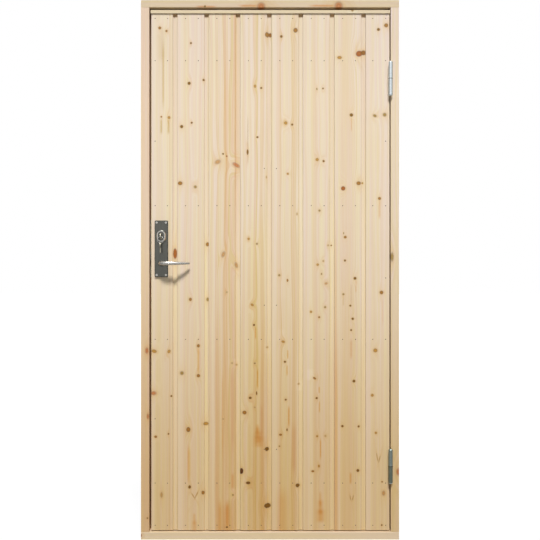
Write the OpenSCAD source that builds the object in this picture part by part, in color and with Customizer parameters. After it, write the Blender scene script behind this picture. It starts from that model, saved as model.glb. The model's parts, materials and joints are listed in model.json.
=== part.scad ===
// Pine barn door: a boarded leaf on lift-off hinges in its frame with planted stops, with lever lock and key.
// +X runs to the hinge side, +Y away from the viewer, +Z up, origin under the middle of the sill.

/* [Frame] */
// Overall width of the frame
frame_w = 1000; // [860:1:1100]
// Overall height of the frame
frame_h = 2090; // [1990:1:2300]
// Depth of the frame, front to back
frame_depth = 92; // [84:1:140]
// Width of a jamb's front face
jamb_face = 32; // [28:1:50]
// Height of the head's front face
head_face = 28; // [24:1:50]
// Height of the sill's front face
sill_face = 30; // [24:1:50]
// How far the stop stands in past the front faces
stop_lap = 12; // [9:1:20]
// Rounding of the frame's front edges
frame_round = 1.5; // [0.5:0.1:3]

/* [Frame fixings] */
// Radius of a fixing hole through a jamb
fixing_r = 5.5; // [3:0.1:8]
// Distance from a jamb's ends to the outer fixing holes
fixing_z = 250; // [150:1:320]
// Distance from an outer fixing hole to the next one
fixing_step = 530; // [400:1:560]
// Length of the screws in the frame's corners
corner_screw_len = 80; // [60:1:110]

/* [Leaf] */
// How far the board faces lie behind the frame's front
leaf_recess = 6; // [3:0.5:12]
// Gap beside the leaf at the lock
lock_gap = 7; // [6.5:0.5:9]
// Gap beside the leaf at the hinges
hinge_gap = 4; // [3.5:0.5:7]
// Gap above the leaf
top_gap = 7; // [3:0.5:12]
// Gap under the leaf
bottom_gap = 4; // [3:0.5:12]
// Gap between the leaf's back and the stop
stop_gap = 1; // [0.5:0.1:3]

/* [Boards] */
// Thickness of a board
board_t = 20; // [18:0.5:24]
// Width of a full board's front face
board_face = 105; // [95:1:115]
// Width of the sunk strip between two board faces
strip_w = 17; // [12:0.5:22]
// Depth of the sunk strip
strip_d = 6; // [4:0.5:7]
// Shift of the whole row of boards towards the hinges
row_shift = 4.5; // [-10:0.5:10]
// Rounding of the board edges
board_round = 1.5; // [0.5:0.1:3]
// Thickness of a tongue
tongue_t = 6; // [5:0.5:7]
// Length of a tongue
tongue_len = 7; // [5:0.5:9]

/* [Leaf framing] */
// Thickness of the stiles, rails and muntins
member_t = 28; // [26:1:40]
// Width of the two stiles
stile_w = 95; // [85:1:120]
// Width of the two middle rails
mid_rail_w = 95; // [80:1:120]
// Width of the top and bottom rails
wide_rail_w = 215; // [200:1:240]
// Width of the muntins on the leaf's centre line
muntin_w = 95; // [70:1:120]
// Height of the upper middle rail's centre line
upper_rail_z = 1294; // [1200:1:1400]
// Height of the lower middle rail's centre line
lower_rail_z = 775; // [700:1:850]
// How far the framing stops above the boards' lower ends
framing_lift = 4; // [0:0.5:10]

/* [Drip cap] */
// Height of the drip cap on the leaf's top
cap_h = 15; // [12:0.5:25]
// How far the cap's nose stands out past the boards
cap_nose = 5; // [4:0.5:8]
// How far the cap passes the leaf at each end
cap_end = 1.5; // [0:0.5:2.5]
// Fall of the cap's top over its depth
cap_fall = 3; // [0:0.5:5]
// Radius of the drip groove under the nose
drip_r = 1.2; // [0.5:0.1:1.5]

/* [Nails] */
// Radius of a nail's head
nail_head_r = 1.8; // [1.4:0.1:2.5]
// Radius of a nail's shank
nail_r = 1; // [0.8:0.1:1.3]
// Length of a nail
nail_len = 42; // [36:1:45]
// How deep a nail head is set below the board face
nail_set = 0.4; // [0.2:0.1:1]
// Least distance from a nail to the leaf's edge
nail_edge = 15; // [12:1:25]
// Distance from a board's right face edge to its right nail
nail_in = 23; // [15:1:30]
// Distance between a board's two nails
nail_pair = 50; // [35:1:60]
// Distance from the end of the boards to the outer rows of nails
nail_end = 19; // [15:1:30]
// Distance between the two rows of nails in a wide rail
nail_rows = 164; // [120:1:170]

/* [Hinges] */
// Distance from the frame's top down to the upper hinge's split
upper_hinge_down = 307; // [240:1:440]
// Height of the lower hinge's split
lower_hinge_z = 285; // [250:1:400]
// Radius of a hinge barrel
barrel_r = 8; // [7:0.5:10]
// Length of one half of a barrel
barrel_len = 62; // [50:1:75]
// Height of the domed end of a barrel
dome_h = 5; // [3:0.5:7]
// Thickness of the washer between the two halves
washer_t = 2; // [1:0.5:4]
// Radius of a hinge pin
pin_r = 5; // [4:0.5:6]
// Thickness of a hinge plate
hinge_plate_t = 2.5; // [2:0.1:3]
// How deep a hinge plate is let into the wood
hinge_sunk = 1.5; // [1:0.1:2]
// Distance from the leaf's back to a hinge plate's rear edge
hinge_rear = 6; // [4:1:10]
// Gap between a barrel and the front of the frame
barrel_gap = 0.6; // [0.4:0.1:2]

/* [Lock] */
// Height of the lever's axis
lever_z = 1070; // [950:1:1100]
// Distance from the lever's axis up to the cylinder's axis
axis_rise = 105; // [98:1:115]
// Distance from the leaf's edge to the lock's axes
backset = 40; // [37:1:45]
// Length of the lock case
case_l = 175; // [165:1:190]
// Thickness of the lock case
case_t = 15; // [14:0.5:18]
// Distance from the leaf's edge to the case's rear
case_depth = 64; // [58:1:75]
// Distance from the lever's axis down to the case's lower end
case_below = 30; // [24:1:34]
// Thickness of the lock's faceplate and of the strike plate
faceplate_t = 3; // [2:0.5:4]
// Width of the faceplate
faceplate_w = 20; // [18:0.5:24]
// How far the faceplate and the strike plate pass the case at each end
faceplate_end = 26; // [22:1:30]
// Height of the latch above the lever's axis
latch_rise = 32; // [30:1:36]
// Height of the latch
latch_h = 28; // [20:1:30]
// Thickness of the latch
latch_t = 12; // [8:0.5:13]
// How far the latch's nose stands out of the leaf's edge
latch_out = 5; // [3:0.5:5]
// Height of the dead bolt
bolt_h = 28; // [20:1:34]
// Thickness of the dead bolt
bolt_t = 10; // [8:0.5:12]
// Travel of the dead bolt
bolt_throw = 20; // [14:1:21]
// Width of the strike plate
strike_w = 26; // [22:0.5:30]

/* [Handles] */
// Width of a handle plate
plate_w = 52; // [46:1:56]
// Thickness of a handle plate
plate_t = 8; // [6:0.5:10]
// Distance from the cylinder's axis up to the plate's top
plate_above = 61; // [54:1:70]
// Distance from the lever's axis down to the plate's foot
plate_below = 53; // [48:1:60]
// Width of the bevel round a plate
plate_bevel = 2; // [1:0.5:3]
// Radius of a plate's corners
plate_corner = 4; // [3:0.5:6]
// Distance from a plate's edges to its screws
plate_screw_in = 8; // [7:0.5:10]
// Radius of a lever's neck
neck_r = 8.5; // [7.5:0.5:10]
// Straight length of a neck in front of its plate
neck_len = 17; // [10:1:30]
// Radius of the lever's bend
bend_r = 27; // [20:1:34]
// Radius of the grip's long bow
bow_r = 125; // [90:1:200]
// Length of the grip along its bow
grip_len = 88; // [70:1:110]
// Radius of the grip at the bend
grip_r = 8; // [6:0.5:8.5]
// Radius of the grip at its tip
tip_r = 4.5; // [3.5:0.5:6]
// Side of the square spindle
spindle_w = 8; // [7:0.5:9]
// Width of the collar round a lever's neck
collar_w = 3.5; // [2:0.5:5]
// Height of that collar
collar_h = 5; // [3:0.5:8]

/* [Cylinder and keys] */
// Width of the oval cylinder
oval_w = 24; // [22:0.5:27]
// Height of the oval cylinder
oval_h = 36; // [32:0.5:40]
// Rim of the ring round the cylinder
ring_rim = 6.5; // [5:0.5:8]
// How far the ring stands out from the plate
ring_out = 8; // [5:0.5:12]
// How far the cylinder's face lies below the ring's front
face_sunk = 2; // [1:0.5:4]
// Radius of the cylinder's plug
plug_r = 7.5; // [6.5:0.5:8.5]
// Length of the plug
plug_len = 28; // [24:1:32]
// Thickness of a key
key_t = 2.2; // [1.8:0.1:2.6]
// Height of a key's blade
blade_h = 8; // [6:0.5:9]
// Length of a key's blade
blade_len = 25; // [20:1:28]
// Radius of a key's bow
bow_disc_r = 12; // [10:0.5:14]
// Radius of the hole in a key's bow
key_hole_r = 3.5; // [2.5:0.5:4]
// Radius of the key ring, to the middle of its wire
key_ring_r = 12; // [10:0.5:16]
// Radius of the key ring's wire
wire_r = 0.9; // [0.6:0.1:1.3]
// Radius of the thumb turn's shaft
turn_r = 8; // [7:0.5:9]
// Height of the thumb turn's grip
turn_h = 34; // [28:1:40]
// Width of the thumb turn's grip
turn_w = 12; // [10:0.5:15]
// Depth of the thumb turn's grip
turn_out = 18; // [14:1:24]

/* [Fits] */
// Radial clearance of a pin or shaft that turns
run_clear = 0.08; // [0.05:0.01:0.1]
// Clearance round a screw or nail in its hole
pilot_clear = 0.1; // [0.05:0.05:0.2]
// Clearance of a piece let into wood
let_clear = 0.2; // [0.1:0.1:0.5]
// Clearance round a sliding bolt and round what passes a hole
slide_clear = 0.3; // [0.2:0.1:0.5]
// Gap in a board joint
joint_gap = 0.5; // [0.2:0.1:1]

/* [Hidden] */
$fn = 48;
eps = 1;

// Depths, from the frame's front to its back
front_y = -frame_depth / 2;
back_y = frame_depth / 2;
face_y = front_y + leaf_recess;
member_y = face_y + board_t;
leaf_back_y = member_y + member_t;
lap_y = member_y + member_t / 2;
stop_y = leaf_back_y + stop_gap;
stop_mid_y = (stop_y + back_y) / 2;
lip_mid_y = (front_y + stop_y) / 2;

// Widths and heights of the opening and the leaf
reveal_x = frame_w / 2 - jamb_face;
leaf_left = -reveal_x + lock_gap;
leaf_right = reveal_x - hinge_gap;
leaf_w = leaf_right - leaf_left;
leaf_mid = (leaf_left + leaf_right) / 2;
leaf_foot = sill_face + bottom_gap;
cap_z = frame_h - head_face - top_gap - cap_h;
framing_foot = leaf_foot + framing_lift;

// The row of boards: full ones between two that are ripped to fit
board_n = 8;
pitch = board_face + strip_w;
first_w = (leaf_w - (board_n - 2) * pitch) / 2 + row_shift;
last_w = leaf_w - first_w - (board_n - 2) * pitch;
tongue_y = strip_d + (board_t - strip_d - tongue_t) / 2;
slot_len = tongue_len + joint_gap;

function board_x(i) = i == 0 ? leaf_left : leaf_left + first_w + (i - 1) * pitch;
function face_w(i) = i == 0 ? first_w - strip_w : i == board_n - 1 ? last_w : board_face;

// Rails from the top down, each as [lowest, highest]
rails = [
    [cap_z - wide_rail_w, cap_z],
    [upper_rail_z - mid_rail_w / 2, upper_rail_z + mid_rail_w / 2],
    [lower_rail_z - mid_rail_w / 2, lower_rail_z + mid_rail_w / 2],
    [framing_foot, framing_foot + wide_rail_w]
];

// Nails as [x, z]: pairs in every board at the rails, single ones in the stiles and muntins
nail_zs = [
    cap_z - nail_end,
    cap_z - nail_end - nail_rows,
    upper_rail_z,
    lower_rail_z,
    leaf_foot + nail_end + nail_rows,
    leaf_foot + nail_end
];
function nail_margin(i, most) = min(most, face_w(i) / 4);
function right_nail(i) = i == board_n - 1
    ? min(board_x(i) + board_face - nail_in, leaf_right - nail_margin(i, nail_edge))
    : board_x(i) + face_w(i) - nail_margin(i, nail_in);
function left_nail(i) = max(right_nail(i) - nail_pair, board_x(i) + nail_margin(i, nail_edge));
function between(r1, r2, share) = rails[r2][1] + (rails[r1][0] - rails[r2][1]) * share;
muntin_nail = muntin_w / 4;
nails = concat(
    [for (i = [0 : board_n - 1]) for (z = nail_zs) for (x = [left_nail(i), right_nail(i)]) [x, z]],
    [for (x = [leaf_left + nail_edge, leaf_right - nail_edge]) [x, between(0, 1, 0.42)]],
    [[leaf_right - nail_edge, between(1, 2, 0.45)], [leaf_left + nail_edge, between(2, 3, 0.45)]],
    [for (r = [0 : 2]) for (s = [-1, 1]) [leaf_mid + s * muntin_nail, between(r, r + 1, 0.2)]]
);
function nails_in(x0, x1, z0, z1) = [for (p = nails) if (p[0] > x0 && p[0] < x1 && p[1] > z0 && p[1] < z1) p];

// Wood screws: countersunk, [head radius, head height, shank radius]
screw = [4, 2.4, 1.9];
screw_tip = 4;
drive_w = 1;
drive_deep = 1.2;
drive_l = 4.4;
corner_screw = [5.5, 3.5, 2.6];
hinge_screw_len = 26;
plate_screw_len = 18;
face_screw_len = 22;

// Hinge axis and plates
axis_x = leaf_right + hinge_gap / 2;
axis_y = front_y - barrel_gap - barrel_r;
hinge_back_y = leaf_back_y - hinge_rear;
leaf_plate_x = leaf_right - hinge_sunk;
jamb_plate_x = reveal_x + hinge_sunk - hinge_plate_t;
hinge_screw_y = member_y + member_t / 2;
hinge_screw_in = 12;
upper_hinge_z = frame_h - upper_hinge_down;
hinges = [upper_hinge_z, lower_hinge_z];

// Lock axes, case and plates
lock_x = leaf_left + backset;
lock_y = member_y + member_t / 2;
key_z = lever_z + axis_rise;
case_z = lever_z - case_below;
latch_z = lever_z + latch_rise;
plate_z = lever_z - plate_below;
plate_h = plate_below + axis_rise + plate_above;
strike_z = case_z - faceplate_end;
strike_h = case_l + 2 * faceplate_end;
hub_r = 11;
cam_r = 8;
hub_len = case_t - 2 * let_clear;
latch_len = backset - hub_r + latch_out;
bolt_len = backset - cam_r - slide_clear * 4;
keep_deep = bolt_throw - lock_gap + 2;
spindle_in = 14;
tail_w = 6;
tail_t = 2;
tail_in = 4;

// Cylinder and keys
ring_y = face_y - plate_t - ring_out;
plug_y = ring_y + face_sunk;
bow_hole = bow_disc_r / 2;
ring_z = key_z - key_hole_r + wire_r - key_ring_r;
spare_hole_z = ring_z - key_ring_r - key_hole_r + wire_r;

pine = [0.91, 0.81, 0.64];
framing_pine = [0.88, 0.77, 0.58];
zinc = [0.66, 0.69, 0.73];
steel = [0.72, 0.72, 0.72];
dark_nickel = [0.33, 0.33, 0.31];
satin_nickel = [0.78, 0.77, 0.74];
key_brass = [0.80, 0.72, 0.50];

// Helpers

// Points along an arc about c, from angle a0 to a1
function arc_points(c, r, a0, a1, n = 4) =
    [for (k = [0 : n]) let (a = a0 + (a1 - a0) * k / n) c + r * [cos(a), sin(a)]];

module box(low, high) {
    translate(low) cube(high - low);
}

// A profile drawn as [depth, height], carried along X from x0 to x1
module along_x(x0, x1) {
    translate([x0, 0, 0]) rotate([90, 0, 90]) linear_extrude(x1 - x0) children();
}

// A profile drawn as [width, height], carried along Y from y0 to y1
module along_y(y0, y1) {
    translate([0, y1, 0]) rotate([90, 0, 0]) linear_extrude(y1 - y0) children();
}

module into_right() {
    rotate([0, 90, 0]) children();
}

module into_left() {
    rotate([0, -90, 0]) children();
}

module into_back() {
    rotate([-90, 0, 0]) children();
}

module into_front() {
    rotate([90, 0, 0]) children();
}

// A countersunk screw that runs from its head at z = 0 up to its tip; grow widens it into its hole
module wood_screw(kind, len, grow = 0) {
    mouth = grow > 0 ? [[0, -eps], [kind[0] + grow, -eps]] : [[0, 0]];
    rotate_extrude()
        polygon(concat(
            mouth,
            [
                [kind[0] + grow, 0],
                [kind[2] + grow, kind[1]],
                [kind[2] + grow, len - screw_tip + grow],
                [0, len + grow]
            ]
        ));
}

module driven_screw(kind, len) {
    difference() {
        wood_screw(kind, len);
        for (turn = [0, 90])
            rotate(turn) box([-drive_l / 2, -drive_w / 2, -eps], [drive_l / 2, drive_w / 2, drive_deep]);
    }
}

module oval(w, h) {
    for (s = [-1, 1])
        translate([0, s * (h - w) / 2]) circle(w / 2);
    square([w, h - w], center = true);
}

// Frame

// The hinge side's jamb: a plank on edge with a rounded front edge
module jamb_blank() {
    corner = [reveal_x + frame_round, front_y + frame_round];
    translate([0, 0, sill_face])
        linear_extrude(frame_h - sill_face - head_face)
            polygon(concat(
                arc_points(corner, frame_round, 180, 270),
                [[frame_w / 2, front_y], [frame_w / 2, back_y], [reveal_x, back_y]]
            ));
}

// The strip on the hinge side's jamb that the closed leaf meets
module side_stop() {
    corner = [reveal_x - stop_lap + frame_round, stop_y + frame_round];
    difference() {
        translate([0, 0, sill_face])
            linear_extrude(frame_h - sill_face - head_face)
                polygon(concat(
                    arc_points(corner, frame_round, 180, 270),
                    [[reveal_x, stop_y], [reveal_x, back_y], [reveal_x - stop_lap, back_y]]
                ));
        fixing_holes();
    }
}

module fixing_holes() {
    inner = fixing_z + fixing_step;
    for (z = [fixing_z, inner, frame_h - inner, frame_h - fixing_z])
        translate([frame_w / 2 + eps, stop_mid_y, z])
            into_left() cylinder(r = fixing_r, h = jamb_face + stop_lap + 2 * eps);
}

// Places children at the two corner screws of the hinge side's head joint and sill joint
module at_right_corners() {
    for (y = [lip_mid_y, stop_mid_y]) {
        translate([reveal_x + jamb_face / 2, y, frame_h]) rotate([180, 0, 0]) children();
        translate([reveal_x + jamb_face / 2, y, 0]) children();
    }
}

module at_corners() {
    at_right_corners() children();
    mirror([1, 0, 0]) at_right_corners() children();
}

module head() {
    low = [front_y + frame_round, frame_h - head_face + frame_round];
    color(pine) difference() {
        along_x(-frame_w / 2, frame_w / 2)
            polygon(concat(
                [[back_y, frame_h], [front_y, frame_h]],
                arc_points(low, frame_round, 180, 270),
                [[back_y, frame_h - head_face]]
            ));
        at_corners() wood_screw(corner_screw, corner_screw_len, pilot_clear);
    }
}

module sill() {
    high = [front_y + 2 * frame_round, sill_face - 2 * frame_round];
    color(pine) difference() {
        along_x(-frame_w / 2, frame_w / 2)
            polygon(concat(
                [[back_y, 0], [front_y, 0]],
                arc_points(high, 2 * frame_round, 180, 90),
                [[back_y, sill_face]]
            ));
        at_corners() wood_screw(corner_screw, corner_screw_len, pilot_clear);
    }
}

module left_stop() {
    color(pine) mirror([1, 0, 0]) side_stop();
}

module right_stop() {
    color(pine) side_stop();
}

// The stops on the head and the sill fit between those on the jambs
module head_stop() {
    low = frame_h - head_face - stop_lap;
    corner = [stop_y + frame_round, low + frame_round];
    color(pine) along_x(stop_lap - reveal_x, reveal_x - stop_lap)
        polygon(concat(
            arc_points(corner, frame_round, 180, 270),
            [[back_y, low], [back_y, low + stop_lap], [stop_y, low + stop_lap]]
        ));
}

module sill_stop() {
    high = sill_face + stop_lap;
    corner = [stop_y + frame_round, high - frame_round];
    color(pine) along_x(stop_lap - reveal_x, reveal_x - stop_lap)
        polygon(concat(
            arc_points(corner, frame_round, 180, 90),
            [[back_y, high], [back_y, sill_face], [stop_y, sill_face]]
        ));
}

module left_jamb() {
    color(pine) difference() {
        mirror([1, 0, 0]) jamb_blank();
        mirror([1, 0, 0]) fixing_holes();
        at_corners() wood_screw(corner_screw, corner_screw_len, pilot_clear);
        box([-reveal_x - faceplate_t, lock_y - strike_w / 2 - let_clear, strike_z - let_clear],
            [-reveal_x + eps, lock_y + strike_w / 2 + let_clear, strike_z + strike_h + let_clear]);
        keeps(keep_deep + faceplate_t);
        at_strike_screws() wood_screw(screw, face_screw_len, pilot_clear);
    }
}

module right_jamb() {
    color(pine) difference() {
        jamb_blank();
        fixing_holes();
        at_corners() wood_screw(corner_screw, corner_screw_len, pilot_clear);
        for (z = hinges)
            box([reveal_x - eps, front_y - eps, z - barrel_len - let_clear],
                [reveal_x + hinge_sunk, hinge_back_y + let_clear, z + let_clear]);
        at_frame_hinge_screws() wood_screw(screw, hinge_screw_len, pilot_clear);
    }
}

module corner_screws() {
    color(steel) at_corners() driven_screw(corner_screw, corner_screw_len);
}

// The two openings that the latch and the dead bolt pass, cut to a depth behind the jamb's face
module keeps(deep) {
    for (k = [[latch_z, latch_h, latch_t], [key_z, bolt_h, bolt_t]])
        box([-reveal_x - deep, lock_y - k[2] / 2 - 2 * slide_clear, k[0] - k[1] / 2 - 2 * slide_clear],
            [-reveal_x + eps, lock_y + k[2] / 2 + 2 * slide_clear, k[0] + k[1] / 2 + 2 * slide_clear]);
}

module at_strike_screws() {
    for (z = [strike_z, strike_z + strike_h])
        translate([-reveal_x, lock_y, z + (z == strike_z ? 1 : -1) * faceplate_end / 2])
            into_left() children();
}

module strike_plate() {
    color(zinc) difference() {
        box([-reveal_x - faceplate_t, lock_y - strike_w / 2, strike_z],
            [-reveal_x, lock_y + strike_w / 2, strike_z + strike_h]);
        keeps(faceplate_t + eps);
        at_strike_screws() wood_screw(screw, face_screw_len, pilot_clear);
    }
}

module strike_screws() {
    color(steel) at_strike_screws() driven_screw(screw, face_screw_len);
}

// Boards

// A board's section as [width, depth]: slot at the left, sunk strip and tongue at the right
module board_section(i) {
    w = face_w(i);
    right = w + strip_w - joint_gap;
    slot_low = tongue_y - slide_clear;
    slot_high = tongue_y + tongue_t + slide_clear;
    slot = [[0, slot_high], [slot_len, slot_high], [slot_len, slot_low], [0, slot_low]];
    tongue = [
        [w, strip_d],
        [right, strip_d],
        [right, tongue_y],
        [right + tongue_len, tongue_y],
        [right + tongue_len, tongue_y + tongue_t],
        [right, tongue_y + tongue_t],
        [right, board_t]
    ];
    polygon(concat(
        [[0, board_t]],
        i == 0 ? [] : slot,
        arc_points([board_round, board_round], board_round, 180, 270),
        arc_points([w - board_round, board_round], board_round, 270, 360),
        i == board_n - 1 ? [[w, board_t]] : tongue
    ));
}

module nail_holes(x0, x1, z0, z1) {
    for (p = nails_in(x0, x1, z0, z1))
        translate([p[0], face_y, p[1]]) into_back() {
            cylinder(r = nail_r + pilot_clear, h = nail_len + pilot_clear);
            translate([0, 0, -eps]) cylinder(r = nail_head_r + pilot_clear, h = nail_set + nail_head_r / 2 + eps);
        }
}

module board(i) {
    x = board_x(i);
    color(pine) difference() {
        translate([x, face_y, leaf_foot]) linear_extrude(cap_z - leaf_foot) board_section(i);
        nail_holes(x, x + face_w(i), leaf_foot, cap_z);
        if (i <= 1) lock_holes();
        if (i == board_n - 1) hinge_lets();
    }
}

module board_1() {
    board(0);
}

module board_2() {
    board(1);
}

module board_3() {
    board(2);
}

module board_4() {
    board(3);
}

module board_5() {
    board(4);
}

module board_6() {
    board(5);
}

module board_7() {
    board(6);
}

module board_8() {
    board(7);
}

module panel_nails() {
    head_t = nail_head_r / 2;
    color(steel)
        for (p = nails)
            translate([p[0], face_y + nail_set, p[1]]) into_back()
                rotate_extrude($fn = 16)
                    polygon([
                        [0, 0],
                        [nail_head_r, 0],
                        [nail_head_r, head_t],
                        [nail_r, head_t],
                        [nail_r, nail_len - nail_set - nail_head_r],
                        [0, nail_len - nail_set]
                    ]);
}

module drip_cap() {
    top = cap_z + cap_h;
    nose = face_y - cap_nose;
    color(pine) difference() {
        along_x(leaf_left - cap_end, leaf_right + cap_end)
            polygon(concat(
                [[leaf_back_y, cap_z], [leaf_back_y, top]],
                arc_points([nose + board_round, top - cap_fall - board_round], board_round, 90, 180),
                [[nose, cap_z]]
            ));
        translate([leaf_mid, face_y - cap_nose / 2, cap_z])
            into_right() cylinder(r = drip_r, h = leaf_w + 4 * cap_nose, center = true);
    }
}

// Leaf framing: the rails are halved over the backs of the stiles

module stile(x0, x1) {
    difference() {
        box([x0, member_y, framing_foot], [x1, leaf_back_y, cap_z]);
        for (r = rails)
            box([x0 - eps, lap_y, r[0]], [x1 + eps, leaf_back_y + eps, r[1]]);
        nail_holes(x0, x1, framing_foot, cap_z);
    }
}

module rail(k) {
    low = rails[k][0];
    high = rails[k][1];
    color(framing_pine) difference() {
        union() {
            box([leaf_left, lap_y, low], [leaf_right, leaf_back_y, high]);
            box([leaf_left + stile_w, member_y, low], [leaf_right - stile_w, leaf_back_y, high]);
        }
        nail_holes(leaf_left, leaf_right, low, high);
        hinge_lets();
        if (k == 1 || k == 2) lock_holes();
    }
}

module muntin(k) {
    low = rails[k + 1][1];
    high = rails[k][0];
    color(framing_pine) difference() {
        box([leaf_mid - muntin_w / 2, member_y, low], [leaf_mid + muntin_w / 2, leaf_back_y, high]);
        nail_holes(leaf_mid - muntin_w / 2, leaf_mid + muntin_w / 2, low, high);
    }
}

module lock_stile() {
    color(framing_pine) difference() {
        stile(leaf_left, leaf_left + stile_w);
        lock_holes();
    }
}

module hinge_stile() {
    color(framing_pine) difference() {
        stile(leaf_right - stile_w, leaf_right);
        hinge_lets();
    }
}

module top_rail() {
    rail(0);
}

module upper_mid_rail() {
    rail(1);
}

module lower_mid_rail() {
    rail(2);
}

module bottom_rail() {
    rail(3);
}

module upper_muntin() {
    muntin(0);
}

module middle_muntin() {
    muntin(1);
}

module lower_muntin() {
    muntin(2);
}

// Hinges: the leaf's upper half lifts off the pin that stands in the jamb's lower half

module at_door_hinge_screws() {
    for (z = hinges) for (s = [0, 1])
        translate([leaf_plate_x + hinge_plate_t, hinge_screw_y,
                   z + washer_t + (s == 0 ? hinge_screw_in : barrel_len - hinge_screw_in)])
            into_left() children();
}

module at_frame_hinge_screws() {
    for (z = hinges) for (s = [0, 1])
        translate([jamb_plate_x, lip_mid_y, z - (s == 0 ? hinge_screw_in : barrel_len - hinge_screw_in)])
            into_right() children();
}

// Shallow housings for the hinge plates in the leaf's edge, with the screws' holes
module hinge_lets() {
    for (z = hinges)
        box([leaf_plate_x, face_y - eps, z + washer_t - let_clear],
            [leaf_right + eps, hinge_back_y + let_clear, z + washer_t + barrel_len + let_clear]);
    at_door_hinge_screws() wood_screw(screw, hinge_screw_len, pilot_clear);
}

// A barrel from z = 0 up to its domed end
module barrel() {
    rotate_extrude()
        polygon(concat(
            [[0, 0], [barrel_r, 0], [barrel_r, barrel_len]],
            [for (k = [1 : 6]) [barrel_r * cos(15 * k), barrel_len + dome_h * sin(15 * k)]]
        ));
}

module hinge_door_half(z) {
    color(zinc) difference() {
        union() {
            translate([axis_x, axis_y, z + washer_t]) barrel();
            box([leaf_plate_x, axis_y, z + washer_t],
                [leaf_plate_x + hinge_plate_t, hinge_back_y, z + washer_t + barrel_len]);
        }
        translate([axis_x, axis_y, z]) cylinder(r = pin_r + run_clear, h = washer_t + barrel_len - dome_h);
        at_door_hinge_screws() wood_screw(screw, hinge_screw_len, pilot_clear);
    }
}

module hinge_frame_half(z) {
    color(zinc) difference() {
        union() {
            translate([axis_x, axis_y, z - barrel_len]) cylinder(r = barrel_r, h = barrel_len);
            box([jamb_plate_x, axis_y, z - barrel_len], [jamb_plate_x + hinge_plate_t, hinge_back_y, z]);
        }
        translate([axis_x, axis_y, z - barrel_len - eps])
            cylinder(r = pin_r + run_clear, h = barrel_len + 2 * eps);
        at_frame_hinge_screws() wood_screw(screw, hinge_screw_len, pilot_clear);
    }
}

// A pin with the dome that closes the lower half
module hinge_pin(z) {
    top = z + washer_t + barrel_len - 2 * dome_h;
    low = z - barrel_len;
    color(zinc) translate([axis_x, axis_y, 0])
        rotate_extrude()
            polygon(concat(
                [[0, top], [pin_r - 1, top], [pin_r, top - 1], [pin_r, low], [barrel_r, low]],
                [for (k = [1 : 6]) [barrel_r * cos(15 * k), low - dome_h * sin(15 * k)]]
            ));
}

module hinge_washer(z) {
    color(satin_nickel) translate([axis_x, axis_y, z]) difference() {
        cylinder(r = barrel_r + 0.5, h = washer_t - slide_clear);
        translate([0, 0, -eps]) cylinder(r = pin_r + run_clear, h = washer_t + 2 * eps);
    }
}

module upper_hinge_door_half() {
    hinge_door_half(upper_hinge_z);
}

module upper_hinge_frame_half() {
    hinge_frame_half(upper_hinge_z);
}

module hinge_pins() {
    for (z = hinges)
        hinge_pin(z);
}

module hinge_washers() {
    for (z = hinges)
        hinge_washer(z);
}

module lower_hinge_door_half() {
    hinge_door_half(lower_hinge_z);
}

module lower_hinge_frame_half() {
    hinge_frame_half(lower_hinge_z);
}

module hinge_door_screws() {
    color(steel) at_door_hinge_screws() driven_screw(screw, hinge_screw_len);
}

module hinge_frame_screws() {
    color(steel) at_frame_hinge_screws() driven_screw(screw, hinge_screw_len);
}

// Lock

module at_plate_screws() {
    half = plate_w / 2 - plate_screw_in;
    for (x = [-half, half]) for (z = [plate_z + plate_screw_in, plate_z + plate_h - plate_screw_in])
        translate([lock_x + x, 0, z]) children();
}

module at_outer_screws() {
    at_plate_screws() translate([0, face_y - plate_t, 0]) into_back() children();
}

module at_inner_screws() {
    at_plate_screws() translate([0, leaf_back_y + plate_t, 0]) into_front() children();
}

module at_face_screws() {
    for (z = [case_z - faceplate_end / 2, case_z + case_l + faceplate_end / 2])
        translate([leaf_left, lock_y, z]) into_right() children();
}

// What the lock needs cut out of the first board and the lock stile
module lock_holes() {
    spindle_hole_r = spindle_w * 0.71 + 2;
    box([leaf_left - eps, lock_y - case_t / 2 - let_clear, case_z - let_clear],
        [leaf_left + case_depth + let_clear, lock_y + case_t / 2 + let_clear, case_z + case_l + let_clear]);
    box([leaf_left - eps, lock_y - faceplate_w / 2 - let_clear, case_z - faceplate_end - let_clear],
        [leaf_left + faceplate_t, lock_y + faceplate_w / 2 + let_clear, case_z + case_l + faceplate_end + let_clear]);
    at_face_screws() wood_screw(screw, face_screw_len, pilot_clear);
    bolt_way(latch_z, latch_h, latch_t, latch_len + slide_clear);
    bolt_way(key_z, bolt_h, bolt_t, bolt_len + slide_clear);
    translate([lock_x, face_y - eps, lever_z])
        into_back() cylinder(r = spindle_hole_r, h = leaf_back_y - face_y + 2 * eps);
    translate([lock_x, 0, key_z])
        along_y(face_y - eps, lock_y) oval(oval_w + 2 * slide_clear, oval_h + 2 * slide_clear);
    translate([lock_x, lock_y, key_z]) into_back() cylinder(r = turn_r + slide_clear, h = member_t);
    at_outer_screws() wood_screw(screw, plate_screw_len, pilot_clear);
    at_inner_screws() wood_screw(screw, plate_screw_len, pilot_clear);
}

module lock_case() {
    mouth = leaf_left + faceplate_t;
    color(steel) difference() {
        box([mouth, lock_y - case_t / 2, case_z],
            [leaf_left + case_depth, lock_y + case_t / 2, case_z + case_l]);
        bolt_way(latch_z, latch_h, latch_t, latch_len + slide_clear);
        bolt_way(key_z, bolt_h, bolt_t, bolt_len + slide_clear);
        for (p = [[lever_z, hub_r], [key_z, cam_r]])
            translate([lock_x, lock_y - case_t, p[0]]) into_back() cylinder(r = p[1] + run_clear, h = 2 * case_t);
    }
}

// The straight way of a bolt, from the leaf's edge to a depth behind it
module bolt_way(z, h, t, deep) {
    box([leaf_left - eps, lock_y - t / 2 - slide_clear, z - h / 2 - slide_clear],
        [leaf_left + deep, lock_y + t / 2 + slide_clear, z + h / 2 + slide_clear]);
}

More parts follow.
